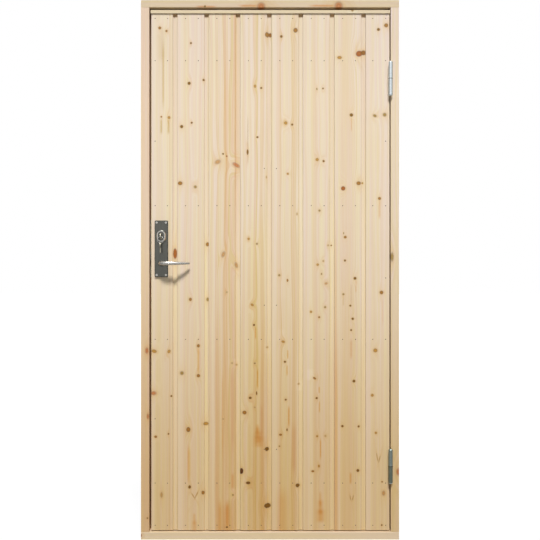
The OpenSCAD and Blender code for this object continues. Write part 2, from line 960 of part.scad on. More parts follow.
module lock_faceplate() {
    color(zinc) difference() {
        box([leaf_left, lock_y - faceplate_w / 2, case_z - faceplate_end],
            [leaf_left + faceplate_t, lock_y + faceplate_w / 2, case_z + case_l + faceplate_end]);
        bolt_way(latch_z, latch_h, latch_t, faceplate_t + eps);
        bolt_way(key_z, bolt_h, bolt_t, faceplate_t + eps);
        at_face_screws() wood_screw(screw, face_screw_len, pilot_clear);
    }
}

module faceplate_screws() {
    color(steel) at_face_screws() driven_screw(screw, face_screw_len);
}

// The latch's nose is bevelled on the side that meets the jamb as the leaf closes
module latch_bolt() {
    x0 = leaf_left - latch_out;
    x1 = x0 + latch_len;
    y0 = lock_y - latch_t / 2;
    y1 = lock_y + latch_t / 2;
    color(satin_nickel) translate([0, 0, latch_z - latch_h / 2])
        linear_extrude(latch_h)
            polygon([[x0, y0], [x0, y0 + latch_t / 4], [leaf_left, y1], [x1, y1], [x1, y0]]);
}

module dead_bolt() {
    color(satin_nickel)
        box([leaf_left, lock_y - bolt_t / 2, key_z - bolt_h / 2],
            [leaf_left + bolt_len, lock_y + bolt_t / 2, key_z + bolt_h / 2]);
}

// Handles

// A bevelled plate with round corners, standing on y = 0 and facing -Y
module plate_blank() {
    inset = plate_corner;
    into_front() hull()
        for (x = [-1, 1]) for (y = [0, 1])
            translate([x * (plate_w / 2 - inset), y == 0 ? plate_z + inset : plate_z + plate_h - inset, 0]) {
                cylinder(r = plate_corner, h = plate_t - plate_bevel, $fn = 32);
                cylinder(r = plate_corner - plate_bevel, h = plate_t, $fn = 32);
            }
}

module outer_plate() {
    color(dark_nickel) difference() {
        translate([lock_x, face_y, 0]) plate_blank();
        translate([lock_x, face_y + eps, lever_z]) into_front() cylinder(r = neck_r + run_clear, h = plate_t + 2 * eps);
        translate([lock_x, 0, key_z])
            along_y(face_y - plate_t - eps, face_y + eps) oval(oval_w + 2 * slide_clear, oval_h + 2 * slide_clear);
        at_outer_screws() wood_screw(screw, plate_screw_len, pilot_clear);
    }
}

module inner_plate() {
    color(dark_nickel) difference() {
        translate([lock_x, leaf_back_y, 0]) mirror([0, 1, 0]) plate_blank();
        for (p = [[lever_z, neck_r], [key_z, turn_r]])
            translate([lock_x, leaf_back_y - eps, p[0]])
                into_back() cylinder(r = p[1] + run_clear, h = plate_t + 2 * eps);
        at_inner_screws() wood_screw(screw, plate_screw_len, pilot_clear);
    }
}

module plate_screws() {
    color(satin_nickel) {
        at_outer_screws() driven_screw(screw, plate_screw_len);
        at_inner_screws() driven_screw(screw, plate_screw_len);
    }
}

// A ring with a rounded outer edge, standing on z = 0 about a lever's neck
module neck_collar() {
    inner = neck_r + run_clear;
    outer = neck_r + collar_w;
    edge = collar_w / 2;
    rotate_extrude()
        polygon(concat(
            [[inner, 0], [outer, 0]],
            arc_points([outer - edge, collar_h - edge], edge, 0, 90),
            [[inner, collar_h]]
        ));
}

module neck_collars() {
    color(dark_nickel) {
        translate([lock_x, face_y - plate_t, lever_z]) into_front() neck_collar();
        translate([lock_x, leaf_back_y + plate_t, lever_z]) into_back() neck_collar();
    }
}

// The lever's centre line as [x, y, heading], t from 0 to 2: the bend, then the long bow back
bow_turn = grip_len / bow_r * 180 / PI;
function bend_point(a) = [bend_r * (1 - cos(a)), -neck_len - bend_r * sin(a), a];
function bow_point(a) =
    [bend_r + bow_r * sin(a), -neck_len - bend_r + bow_r * (1 - cos(a)), 90 + a];
bend_steps = 8;
bow_steps = 12;
cap_steps = 5;
sides = 20;
lever_line = concat(
    [[0, -neck_len + neck_r / 2, 0]],
    [for (k = [0 : bend_steps]) bend_point(90 * k / bend_steps)],
    [for (k = [1 : bow_steps]) bow_point(bow_turn * k / bow_steps)]
);
lever_n = len(lever_line);
lever_tip = lever_line[lever_n - 1];

// A ring of points about [x, y, heading], round in the plane across the heading
function ring_at(p, r) = [
    for (k = [0 : sides - 1]) let (a = 360 * k / sides)
        [p[0] + r * cos(a) * cos(p[2]), p[1] + r * cos(a) * sin(p[2]), r * sin(a)]
];
function lever_r(k) = neck_r + (k < bend_steps + 1 ? (grip_r - neck_r) * k / (bend_steps + 1)
    : grip_r - neck_r + (tip_r - grip_r) * (k - bend_steps - 1) / bow_steps);
// The rounded end past the tip: rings that shrink along a quarter circle
function end_ring(a) = ring_at(
    [lever_tip[0] + tip_r * sin(a) * sin(lever_tip[2]), lever_tip[1] - tip_r * sin(a) * cos(lever_tip[2]), lever_tip[2]],
    tip_r * cos(a)
);
lever_rings = concat(
    [for (k = [0 : lever_n - 1]) ring_at(lever_line[k], lever_r(k))],
    [for (k = [1 : cap_steps]) end_ring(85 * k / cap_steps)]
);
ring_n = len(lever_rings);

module lever_grip() {
    polyhedron(
        points = [for (ring = lever_rings) for (p = ring) p],
        faces = concat(
            [[for (k = [0 : sides - 1]) k]],
            [for (r = [0 : ring_n - 2]) for (k = [0 : sides - 1]) let (n = (k + 1) % sides)
                [r * sides + k, (r + 1) * sides + k, (r + 1) * sides + n, r * sides + n]],
            [[for (k = [sides - 1 : -1 : 0]) (ring_n - 1) * sides + k]]
        )
    );
}

// An outside lever about its own axis, with y = 0 at the front of its plate
module lever() {
    seat = plate_t - slide_clear;
    difference() {
        union() {
            translate([0, seat, 0]) into_front() cylinder(r = neck_r, h = seat + neck_len);
            lever_grip();
        }
        box([-spindle_w / 2 - run_clear, -spindle_in - run_clear, -spindle_w / 2 - run_clear],
            [spindle_w / 2 + run_clear, seat + eps, spindle_w / 2 + run_clear]);
    }
}

module outer_lever() {
    color(satin_nickel) translate([lock_x, face_y - plate_t, lever_z]) lever();
}

module inner_lever() {
    color(satin_nickel) translate([lock_x, leaf_back_y + plate_t, lever_z]) mirror([0, 1, 0]) lever();
}

module spindle() {
    color(steel)
        box([lock_x - spindle_w / 2, face_y - plate_t - spindle_in, lever_z - spindle_w / 2],
            [lock_x + spindle_w / 2, leaf_back_y + plate_t + spindle_in, lever_z + spindle_w / 2]);
}

module spindle_hub() {
    color(steel) difference() {
        translate([lock_x, lock_y - hub_len / 2, lever_z]) into_back() cylinder(r = hub_r, h = hub_len);
        box([lock_x - spindle_w / 2 - run_clear, lock_y - case_t, lever_z - spindle_w / 2 - run_clear],
            [lock_x + spindle_w / 2 + run_clear, lock_y + case_t, lever_z + spindle_w / 2 + run_clear]);
    }
}

// Cylinder and keys

module cylinder_ring() {
    base = oval_w + 2 * ring_rim;
    color(satin_nickel) translate([lock_x, face_y - plate_t, key_z]) difference() {
        into_front() hull()
            for (s = [-1, 1])
                translate([0, s * (oval_h - oval_w) / 2, 0]) {
                    cylinder(r = base / 2, h = ring_out / 3, $fn = 32);
                    cylinder(r = base / 2 - ring_rim / 2, h = ring_out, $fn = 32);
                }
        along_y(-ring_out - eps, eps) oval(oval_w + 2 * slide_clear, oval_h + 2 * slide_clear);
    }
}

module cylinder_body() {
    rear = lock_y - case_t / 2 - let_clear;
    color(satin_nickel) translate([lock_x, 0, key_z]) difference() {
        along_y(plug_y, rear) oval(oval_w, oval_h);
        translate([0, plug_y - eps, 0]) into_back() cylinder(r = plug_r + run_clear, h = plug_len + slide_clear + eps);
        translate([0, plug_y, 0]) into_back() cylinder(r = plug_r - 2, h = rear - plug_y + eps);
    }
}

// The flat bar that carries the plug's turn through the case to the thumb turn
module tail_bar(y0, y1, grow = 0) {
    box([lock_x - tail_t / 2 - grow, y0, key_z - tail_w / 2 - grow],
        [lock_x + tail_t / 2 + grow, y1, key_z + tail_w / 2 + grow]);
}

module cylinder_plug() {
    rear = plug_y + plug_len;
    color(key_brass) difference() {
        translate([lock_x, plug_y, key_z]) into_back() cylinder(r = plug_r, h = plug_len);
        box([lock_x - key_t / 2 - run_clear, plug_y - eps, key_z - blade_h / 2 - run_clear],
            [lock_x + key_t / 2 + run_clear, rear - 2 * tail_in, key_z + blade_h / 2 + run_clear]);
        tail_bar(rear - tail_in, rear + eps, run_clear);
    }
}

module tailpiece() {
    color(steel) tail_bar(plug_y + plug_len - tail_in, leaf_back_y + plate_t);
}

module bolt_cam() {
    color(steel) difference() {
        translate([lock_x, lock_y - hub_len / 2, key_z]) into_back() cylinder(r = cam_r, h = hub_len);
        tail_bar(lock_y - case_t, lock_y + case_t, run_clear);
    }
}

// A key lying in the XY plane, its shoulder at x = 0 and its blade along +X
module key_blank() {
    cut_r = blade_h / 5;
    blade = min(blade_len, plug_len - 2 * tail_in) - slide_clear;
    linear_extrude(key_t, center = true) difference() {
        union() {
            translate([-bow_disc_r, 0]) circle(bow_disc_r);
            translate([-bow_disc_r, -blade_h / 2]) square([bow_disc_r + blade - blade_h / 2, blade_h]);
            translate([blade - blade_h / 2, 0]) circle(blade_h / 2);
        }
        translate([-bow_disc_r - bow_hole, 0]) circle(key_hole_r);
        for (k = [1 : 4])
            translate([blade * k / 5, blade_h / 2 + cut_r / 4]) circle(cut_r);
    }
}

module key() {
    color(key_brass) translate([lock_x, plug_y, key_z]) rotate([90, 0, 90]) key_blank();
}

module key_ring() {
    hang_y = plug_y - bow_disc_r - bow_hole;
    color(steel) translate([lock_x, hang_y, ring_z])
        into_front() rotate_extrude() translate([key_ring_r, 0]) circle(wire_r, $fn = 16);
}

module spare_key() {
    hang_y = plug_y - bow_disc_r - bow_hole;
    color(key_brass) translate([lock_x, hang_y, spare_hole_z - bow_disc_r - bow_hole])
        rotate([90, 0, 90]) rotate(-90) key_blank();
}

module thumb_turn() {
    front = leaf_back_y + plate_t;
    color(satin_nickel) difference() {
        translate([lock_x, 0, key_z]) {
            translate([0, leaf_back_y, 0]) into_back() cylinder(r = turn_r, h = plate_t + turn_out / 2);
            along_y(front + slide_clear, front + turn_out) oval(turn_w, turn_h);
        }
        tail_bar(leaf_back_y - eps, front + run_clear, run_clear);
    }
}

head();
left_jamb();
right_jamb();
sill();
head_stop();
left_stop();
right_stop();
sill_stop();
corner_screws();
strike_plate();
strike_screws();
board_1();
board_2();
board_3();
board_4();
board_5();
board_6();
board_7();
board_8();
lock_stile();
hinge_stile();
top_rail();
upper_mid_rail();
lower_mid_rail();
bottom_rail();
upper_muntin();
middle_muntin();
lower_muntin();
drip_cap();
panel_nails();
upper_hinge_door_half();
upper_hinge_frame_half();
lower_hinge_door_half();
lower_hinge_frame_half();
hinge_pins();
hinge_washers();
hinge_door_screws();
hinge_frame_screws();
lock_case();
lock_faceplate();
faceplate_screws();
latch_bolt();
dead_bolt();
outer_plate();
inner_plate();
plate_screws();
neck_collars();
outer_lever();
inner_lever();
spindle();
spindle_hub();
cylinder_ring();
cylinder_body();
cylinder_plug();
tailpiece();
bolt_cam();
key();
key_ring();
spare_key();
thumb_turn();
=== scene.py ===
# %% [markdown]
# # A boarded pine door in its frame
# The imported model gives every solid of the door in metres: +X to the hinge side, +Y to the back, +Z up.
# This lesson dresses it. It sets the camera, builds pine as a node material with rings, knots and resin
# streaks, builds the metal finishes, replaces the two faceted levers with smooth ones, and lights the room.

# %% Load the model
import json
import math
from collections import namedtuple
import bpy
import numpy as np
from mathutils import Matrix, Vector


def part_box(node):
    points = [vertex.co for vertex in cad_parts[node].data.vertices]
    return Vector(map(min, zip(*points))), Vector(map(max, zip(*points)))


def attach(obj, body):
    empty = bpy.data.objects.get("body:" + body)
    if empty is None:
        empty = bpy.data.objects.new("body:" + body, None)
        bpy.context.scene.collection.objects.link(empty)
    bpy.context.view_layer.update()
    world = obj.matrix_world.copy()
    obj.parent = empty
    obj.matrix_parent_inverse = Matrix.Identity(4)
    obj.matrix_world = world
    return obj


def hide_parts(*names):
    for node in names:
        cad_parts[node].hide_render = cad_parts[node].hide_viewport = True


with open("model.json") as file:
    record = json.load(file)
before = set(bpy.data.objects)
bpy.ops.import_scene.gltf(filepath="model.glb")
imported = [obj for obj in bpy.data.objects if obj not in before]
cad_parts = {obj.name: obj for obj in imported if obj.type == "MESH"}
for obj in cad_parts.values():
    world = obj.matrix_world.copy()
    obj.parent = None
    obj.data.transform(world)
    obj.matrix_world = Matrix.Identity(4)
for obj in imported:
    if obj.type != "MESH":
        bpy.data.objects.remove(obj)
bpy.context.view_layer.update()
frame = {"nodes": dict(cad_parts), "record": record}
nodes = frame["nodes"]
MM = 0.001

# %% [markdown]
# ## Camera
# The picture looks straight at the door from three metres, with the eye at half its height.
# A level camera keeps the jambs upright, so no shift is needed: the lens alone sets how much is seen.

# %% Camera
VIEW_DISTANCE = 3.0
VIEW_WIDTH = 2.0922
EYE_HEIGHT = 1.0443
SENSOR = 36.0

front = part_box("head")[0][1]
camera_data = bpy.data.cameras.new("door_camera")
camera_data.sensor_width = SENSOR
camera_data.lens = SENSOR * VIEW_DISTANCE / VIEW_WIDTH
camera = bpy.data.objects.new("door_camera", camera_data)
camera.location = (0.0, front - VIEW_DISTANCE, EYE_HEIGHT)
camera.rotation_euler = (math.pi / 2, 0.0, 0.0)
bpy.context.scene.collection.objects.link(camera)
bpy.context.scene.camera = camera
bpy.context.scene.view_settings.view_transform = "Standard"
print("lens", round(camera_data.lens, 2), "mm")

# %% [markdown]
# ## Small helpers for node trees
# A material is a network of nodes. Linking nodes by hand takes many lines, so one helper makes a node and
# feeds each of its inputs with a number or a link. The others wrap the nodes that are used most, so that
# a material reads almost like a formula.

# %% Node helpers
def feed(tree, socket, value):
    """Links the socket to value, or writes value into it where value is a number or a colour.
    None leaves the socket as it is."""
    if isinstance(value, bpy.types.NodeSocket):
        tree.links.new(value, socket)
    elif value is not None:
        socket.default_value = value


def put(tree, kind, *values, **settings):
    """Makes a node with these settings and feeds its inputs in their order."""
    made = tree.nodes.new(kind)
    for name, value in settings.items():
        setattr(made, name, value)
    for socket, value in zip(made.inputs, values):
        feed(tree, socket, value)
    return made


def fill(tree, made, values):
    """Feeds the inputs that values names."""
    for name, value in values.items():
        feed(tree, made.inputs[name], value)


def new_group(name, inputs, outputs):
    """An empty node group; inputs and outputs give the kind of each named socket."""
    group = bpy.data.node_groups.new(name, "ShaderNodeTree")
    for direction, named in (("INPUT", inputs), ("OUTPUT", outputs)):
        for label, kind in named.items():
            group.interface.new_socket(name=label, in_out=direction, socket_type="NodeSocket" + kind)
    return group


def new_material(name):
    """A node material with its shader, and the point on the piece in millimetres."""
    material = bpy.data.materials.new(name)
    material.use_nodes = True
    tree = material.node_tree
    place = put(tree, "ShaderNodeTexCoord").outputs["Object"]
    scaled = put(tree, "ShaderNodeVectorMath", place, (1 / MM, 1 / MM, 1 / MM), operation="MULTIPLY")
    return material, tree, tree.nodes["Principled BSDF"], scaled.outputs[0]


print("node helpers ready")

# %% Formula helpers
# The mix node has sockets for numbers, vectors and colours; these are the share and the colours.
MIX_INPUTS = (0, 6, 7)
MIX_RESULT = 2


def linear(red, green, blue):
    """A colour written as on a screen (0 to 255), turned by the sRGB curve into linear light for shaders."""
    screen = np.array([red, green, blue]) / 255.0
    light = np.where(screen <= 0.04045, screen / 12.92, ((screen + 0.055) / 1.055) ** 2.4)
    return (*light.tolist(), 1.0)


def calc(tree, operation, *values):
    """One step of arithmetic."""
    return put(tree, "ShaderNodeMath", *values, operation=operation).outputs[0]


def affine(tree, value, factor, offset):
    """value times factor, plus offset."""
    return calc(tree, "MULTIPLY_ADD", value, factor, offset)


def bell(tree, value):
    """exp(-value squared)."""
    return calc(tree, "EXPONENT", calc(tree, "MULTIPLY", calc(tree, "MULTIPLY", value, value), -1.0))


def ease(tree, value, low, high, start=0.0, end=1.0):
    """A smooth step from start, at low, to end, at high; low may be the larger of the two."""
    made = put(tree, "ShaderNodeMapRange", value, low, high, start, end, interpolation_type="SMOOTHSTEP")
    return made.outputs[0]


def vector(tree, operation, *values):
    """One step with vectors; LENGTH gives a number."""
    made = put(tree, "ShaderNodeVectorMath", *values, operation=operation)
    return made.outputs["Value" if operation == "LENGTH" else "Vector"]


def noise(tree, place, seed, scale, detail, rough, dimensions="4D"):
    """Cloudy noise about one half: detail is how many finer layers it has, rough is how strong they are.
    The 1D kind reads only its seed, which may be a socket."""
    made = put(tree, "ShaderNodeTexNoise", place, seed, scale, detail, rough, noise_dimensions=dimensions)
    return made.outputs[0]


def tint(tree, share, first, second, mode="MIX"):
    """The first colour mixed with the second by share; MULTIPLY stains the first with the second."""
    made = put(tree, "ShaderNodeMix", data_type="RGBA", blend_type=mode)
    for place, value in zip(MIX_INPUTS, (share, first, second)):
        feed(tree, made.inputs[place], value)
    return made.outputs[MIX_RESULT]


print("formula helpers ready")

# %% [markdown]
# ## A knot
# A knot is a branch cut across: an oval, darker towards its rim, with rings of its own.
# The stem's rings swell round it, and the wood beside it is tinted. It could be painted for each board.
# A node group draws one knot and hands its result on instead, so a board is a chain of such groups.

# %% Knot group
KNOT_RING_TURN = 13.0
KNOT_RING_DEPTH, KNOT_RING_LEVEL = 0.13, 0.9
KNOT_HEART = 0.35
HEART_LIGHT, RIM_LIGHT = 1.1, 0.72
SWELL_SHAPE = (0.55, 0.0, 0.26)
SWELL_RINGS = 0.24
SWELL_GLOW = 0.5
HALO_START, HALO_END = 0.9, 2.4
KNOT_CHAIN = {"Rings": "Float", "Ink": "Color", "Cover": "Float", "Glow": "Float"}


def make_knot_group():
    """radii is the distance from the knot's centre, counted in its own half width, depth and half height.
    The knot covers radii below one, shaded by a sine of radii. The board's rings rise by a bell of a
    distance that is stretched along the grain, so that they bend round the knot."""
    inputs = {"Point": "Vector", "Centre": "Vector", "Size": "Vector", "Tilt": "Float", "Tone": "Color",
              "Soft": "Float", **KNOT_CHAIN}
    group = new_group("pine_knot", inputs, KNOT_CHAIN)
    given = put(group, "NodeGroupInput").outputs
    away = vector(group, "SUBTRACT", given["Point"], given["Centre"])
    turned = put(group, "ShaderNodeVectorRotate", away, rotation_type="Y_AXIS")
    feed(group, turned.inputs["Angle"], given["Tilt"])
    local = vector(group, "DIVIDE", turned.outputs[0], given["Size"])
    radii = vector(group, "LENGTH", local)

    inner = calc(group, "SUBTRACT", 1.0, given["Soft"])
    outer = calc(group, "ADD", 1.0, given["Soft"])
    cover = ease(group, radii, inner, outer, 1.0, 0.0)
    wave = calc(group, "SINE", calc(group, "MULTIPLY", radii, KNOT_RING_TURN))
    ripple = affine(group, wave, KNOT_RING_DEPTH, KNOT_RING_LEVEL)
    shade = calc(group, "MULTIPLY", ripple, ease(group, radii, KNOT_HEART, 1.0, HEART_LIGHT, RIM_LIGHT))
    tone = vector(group, "SCALE", given["Tone"], None, None, shade)

    swell = bell(group, vector(group, "LENGTH", vector(group, "MULTIPLY", local, SWELL_SHAPE)))
    half_width = put(group, "ShaderNodeSeparateXYZ", given["Size"]).outputs[0]
    rise = calc(group, "MULTIPLY", half_width, SWELL_RINGS)
    halo = ease(group, radii, HALO_START, HALO_END, 1.0, 0.0)
    glow = calc(group, "MAXIMUM", halo, calc(group, "MULTIPLY", swell, SWELL_GLOW))
    fill(group, put(group, "NodeGroupOutput"), {
        "Rings": affine(group, swell, rise, given["Rings"]),
        "Ink": tint(group, cover, given["Ink"], tone),
        "Cover": calc(group, "MAXIMUM", cover, given["Cover"]),
        "Glow": calc(group, "MAXIMUM", glow, given["Glow"]),
    })
    return group


knot_group = make_knot_group()
print("knot group:", len(knot_group.nodes), "nodes")

# %% [markdown]
# ## A resin streak
# Pine has stripes of resin and heartwood that run with the grain, and flames below a knot.
# A streak is a bell across the board that fades out at both ends. It stains the wood and hides nothing.

# %% Streak group
STREAK_FADE = 0.45


def make_streak_group():
    """The stain is exp(-a squared), with a counted in half widths across, times one minus a smooth step
    of the distance along the grain, counted in half lengths."""
    inputs = {"Point": "Vector", "Centre": "Vector", "Size": "Vector", "Tone": "Color", "Strength": "Float",
              "Ink": "Color"}
    group = new_group("resin_streak", inputs, {"Ink": "Color"})
    given = put(group, "NodeGroupInput").outputs
    away = vector(group, "SUBTRACT", given["Point"], given["Centre"])
    local = put(group, "ShaderNodeSeparateXYZ", vector(group, "DIVIDE", away, given["Size"])).outputs
    fade = ease(group, calc(group, "ABSOLUTE", local["Z"]), STREAK_FADE, 1.0, 1.0, 0.0)
    share = calc(group, "MULTIPLY", calc(group, "MULTIPLY", bell(group, local["X"]), fade), given["Strength"])
    stained = tint(group, share, given["Ink"], given["Tone"], "MULTIPLY")
    fill(group, put(group, "NodeGroupOutput"), {"Ink": stained})
    return group


streak_group = make_streak_group()
print("streak group:", len(streak_group.nodes), "nodes")

# %% [markdown]
# ## Tones of pine
# Early wood is pale and late wood is darker, and both waver between pink and yellow. A tone that stains
# is a factor on the light: below one it darkens, above one it lightens. Heights are in millimetres.

# %% Tones of pine
EARLY_PINK = linear(238, 219, 202)
EARLY_YELLOW = linear(239, 223, 188)
LATE_PINK = linear(228, 190, 156)
LATE_YELLOW = linear(224, 197, 138)
GLOW = linear(228, 190, 126)
GLOW_SHARE = 0.55
# Low down: partly yellowed wood, partly painted shade for the light that falls off towards the foot.
LOW_SHADE_AND_STAIN = (0.71, 0.545, 0.245, 1.0)
SHADE_AND_STAIN_TOP, SHADE_AND_STAIN_FOOT = 1400.0, 100.0
# Painted shade that dims the top of each piece a little.
TOP_SHADE_TONE = (0.945, 0.95, 0.98, 1.0)
TOP_SHADE_LOW, TOP_SHADE_HIGH = 1650.0, 2050.0
# Strips: painted shade in the recess high up, a paler tint low down.
STRIP_SHADE_TONE = (0.965, 0.965, 0.94, 1.0)
STRIP_LOW_TONE = (1.045, 1.065, 0.99, 1.0)
STRIP_TOP, STRIP_FOOT = 1700.0, 900.0
# Painted shadow of the drip cap in the strips just under it.
CAP_SHADOW_TONE = (0.78, 0.62, 0.45, 1.0)
CAP_SHADOW_LOW, CAP_SHADOW_HIGH = 2023.0, 2031.0
KNOT_TONES = {
    "dark": linear(140, 100, 34), "brown": linear(172, 124, 58), "red": linear(174, 105, 48),
    "orange": linear(198, 151, 75), "olive": linear(171, 139, 75), "rust": linear(206, 140, 90),
    "faint": linear(206, 170, 116), "deep": linear(104, 62, 20), "umber": linear(158, 108, 48),
    "tan": linear(206, 160, 106),
}
SOFT_TONES = ("olive", "faint", "rust", "tan")
STREAK_TONES = {
    "orange": linear(240, 203, 150), "olive": linear(226, 209, 158), "red": linear(236, 196, 160),
    "dark": linear(190, 160, 120), "amber": linear(242, 203, 124), "flame": linear(236, 176, 120),
    "light": (1.06, 1.1, 1.22, 1.0), "yellow": (0.99, 0.97, 0.6, 1.0), "cool": (1.0, 1.02, 1.2, 1.0),
}
print(len(KNOT_TONES), "knot tones,", len(STREAK_TONES), "streak tones")

# %% [markdown]
# ## Rings, knots and streaks on a piece
# A board is sawn from a round stem, so its rings are circles about a pith that lies somewhere behind the
# face. The distance from that pith, counted in rings, is the one field from which the grain is read:
# on the face it gives lines and arches, on the end it gives arcs. Knots lift that field where they lie.

# %% Rings, knots and streaks
DRIFT_SCALE, DRIFT_STRETCH, DRIFT_RANGE = 0.011, 0.09, 70.0
KNOT_REACH = 60.0
HARD_RIM, SOFT_RIM = 0.28, 0.55
STREAK_GAIN = 0.6


def stem_rings(tree, across, deep, along, pith, ring, seed):
    """The rings between a point and the pith: the root of side squared plus depth squared, over the width
    of a ring. Slow noise moves the pith sideways along the stem; that drift is returned too."""
    slow = put(tree, "ShaderNodeCombineXYZ", across, deep, calc(tree, "MULTIPLY", along, DRIFT_STRETCH))
    cloud = noise(tree, slow.outputs[0], seed, DRIFT_SCALE, 2.0, 0.5)
    drift = affine(tree, cloud, DRIFT_RANGE, -0.5 * DRIFT_RANGE)
    side = calc(tree, "ADD", calc(tree, "SUBTRACT", across, pith[0]), drift)
    behind = calc(tree, "SUBTRACT", deep, pith[1])
    distance = calc(tree, "SQRT", affine(tree, side, side, calc(tree, "MULTIPLY", behind, behind)))
    return calc(tree, "DIVIDE", distance, ring), drift


def draw_knots(tree, spot, rings, knots):
    """One knot group for each knot, each taking up what the one before it hands on."""
    chain = {"Rings": rings, "Ink": EARLY_PINK, "Cover": 0.0, "Glow": 0.0}
    for across, up, wide, tall, tilt, tone in knots:
        drawn = put(tree, "ShaderNodeGroup", node_tree=knot_group)
        fill(tree, drawn, {
            "Point": spot, "Centre": (across, 0.0, up), "Size": (wide * 0.5, KNOT_REACH, tall * 0.5),
            "Tilt": math.radians(tilt), "Tone": KNOT_TONES[tone],
            "Soft": SOFT_RIM if tone in SOFT_TONES else HARD_RIM, **chain,
        })
        chain = {name: drawn.outputs[name] for name in chain}
    return chain


def draw_streaks(tree, spot, wood, streaks):
    """One streak group for each streak, each staining the wood that it is given."""
    for across, low, high, wide, strength, tone in streaks:
        drawn = put(tree, "ShaderNodeGroup", node_tree=streak_group)
        fill(tree, drawn, {
            "Point": spot, "Centre": (across, 0.0, (low + high) / 2),
            "Size": (wide * 0.5, KNOT_REACH, (high - low) / 2),
            "Tone": STREAK_TONES[tone], "Strength": strength * STREAK_GAIN, "Ink": wood,
        })
        wood = drawn.outputs[0]
    return wood


print("rings, knots and streaks ready")

# %% [markdown]
# ## Grain, age and painted shade
# Late wood shows in three ways: broad bands of rings, a thin line at the end of each ring, and fibres.
# Heartwood shows them more than sapwood. Planed pine is pale high up and darker and yellower further down:
# partly yellowed wood, partly painted shade for the light that falls off lower down. Right at the top a
# little painted shade dims it. The sunk strips between the boards have a tint of their own: a little darker
# than the faces high up, as painted shade in the recess, and a little paler low down.

# %% Grain, age and painted shade
BAND_STEP, BAND_LOW, BAND_HIGH, BAND_SHARE = 0.30, 0.42, 0.62, 0.46
LINE_START, LINE_PEAK, LINE_SHARE = 0.35, 0.92, 0.2
FINE_STEP, FINE_SEED, FINE_MIDDLE, FINE_SHARE = 0.85, 40.0, 0.4, 0.5
FIBRE_MIDDLE, FIBRE_SHARE = 0.5, 0.8
HEART_WARMTH, SAP_WARMTH = 1.1, 1.3
# How strongly heartwood and sapwood take the darker foot, partly yellowing and partly painted shade.
HEART_SHADE_AND_STAIN, SAP_SHADE_AND_STAIN = 0.22, 0.85
FACE_DEPTH, STRIP_DEPTH = 2.5, 5.0
LATE_LOW, LATE_HIGH = 0.3, 0.7
EARLY_LOW, EARLY_HIGH = 0.35, 0.65


def grain(tree, rings, fibre, hue, core, warmth, seed):
    """The share of late wood is the sum of bands, line, fibres and fine rings, times the warmth, which is
    SAP_WARMTH plus HEART_WARMTH where core is one. Returns the wood's colour and the line."""
    bands = noise(tree, None, affine(tree, rings, BAND_STEP, seed), 1.0, 3.0, 0.62, "1D")
    fine = noise(tree, None, affine(tree, rings, FINE_STEP, seed + FINE_SEED), 1.0, 2.0, 0.6, "1D")
    saw = calc(tree, "FRACT", rings)
    fall = ease(tree, saw, LINE_PEAK, 1.0, 1.0, 0.0)
    line = calc(tree, "MULTIPLY", ease(tree, saw, LINE_START, LINE_PEAK), fall)
    broad = ease(tree, bands, BAND_LOW, BAND_HIGH)
    share = affine(tree, broad, BAND_SHARE, calc(tree, "MULTIPLY", line, LINE_SHARE))
    share = affine(tree, calc(tree, "SUBTRACT", fibre, FIBRE_MIDDLE), FIBRE_SHARE, share)
    share = affine(tree, calc(tree, "SUBTRACT", fine, FINE_MIDDLE), FINE_SHARE, share)
    share = calc(tree, "MULTIPLY", share, affine(tree, core, warmth * HEART_WARMTH, warmth * SAP_WARMTH))
    late = tint(tree, ease(tree, fine, LATE_LOW, LATE_HIGH), LATE_PINK, LATE_YELLOW)
    early = tint(tree, ease(tree, hue, EARLY_LOW, EARLY_HIGH), EARLY_PINK, EARLY_YELLOW)
    return tint(tree, share, early, late), line


def age(tree, wood, height, core, aged_and_shaded):
    """Towards the foot the wood grows darker and yellower, partly yellowing and partly painted shade; near
    the top a painted shade dims it.
    """
    # Darker and yellower towards the foot: partly yellowed wood, partly painted shade.
    reach = ease(tree, height, SHADE_AND_STAIN_TOP, SHADE_AND_STAIN_FOOT, 0.0, aged_and_shaded)
    stain = calc(tree, "MULTIPLY", reach, affine(tree, core, HEART_SHADE_AND_STAIN, SAP_SHADE_AND_STAIN))
    wood = tint(tree, stain, wood, LOW_SHADE_AND_STAIN, "MULTIPLY")
    # Painted shade dims the top a little.
    return tint(tree, ease(tree, height, TOP_SHADE_LOW, TOP_SHADE_HIGH), wood, TOP_SHADE_TONE, "MULTIPLY")


def tone_strips(tree, wood, deep, height):
    """What lies below the face takes the strip tone of its height, which holds painted shade high up, and
    right under the cap a painted shadow.
    """
    below = ease(tree, deep, FACE_DEPTH, STRIP_DEPTH)
    # The strips carry painted shade high up and a paler tint low down.
    strip = tint(tree, ease(tree, height, STRIP_TOP, STRIP_FOOT), STRIP_SHADE_TONE, STRIP_LOW_TONE)
    wood = tint(tree, below, wood, strip, "MULTIPLY")
    # Painted shadow of the drip cap, in the strips just under it.
    cap_shadow = calc(tree, "MULTIPLY", below, ease(tree, height, CAP_SHADOW_LOW, CAP_SHADOW_HIGH))
    return tint(tree, cap_shadow, wood, CAP_SHADOW_TONE, "MULTIPLY")


print("grain and age ready")

# %% [markdown]
# ## Pine
# One function puts the steps together: rings, knots, grain, streaks, age and painted shade. The fibres also
# break up the gloss and give a slight relief, as planed wood has under the fingers. All of it is read from
# the point on the piece, so faces, edges and ends agree, which an image wrapped round the piece would not
# give.

# %% Pine
JAG_SCALE, JAG_RANGE = 0.22, 3.0
FIBRE_SCALE, FIBRE_STRETCH = 0.32, 0.012
HUE_SCALE, HUE_SEED = 0.1, 9.0
MIXED_WOOD = 0.5
HEART_DRIFT, HEART_FADE = 0.3, 8.0
ROUGH_RANGE, ROUGH_LEAST = 0.25, 0.45
LINE_RELIEF, FIBRE_RELIEF = -0.4, 0.8
RELIEF_STRENGTH, RELIEF_HEIGHT = 0.12, 0.0004
PINE_GLOSS = 0.3
PLAIN = (1.0, 1.0, 1.0)


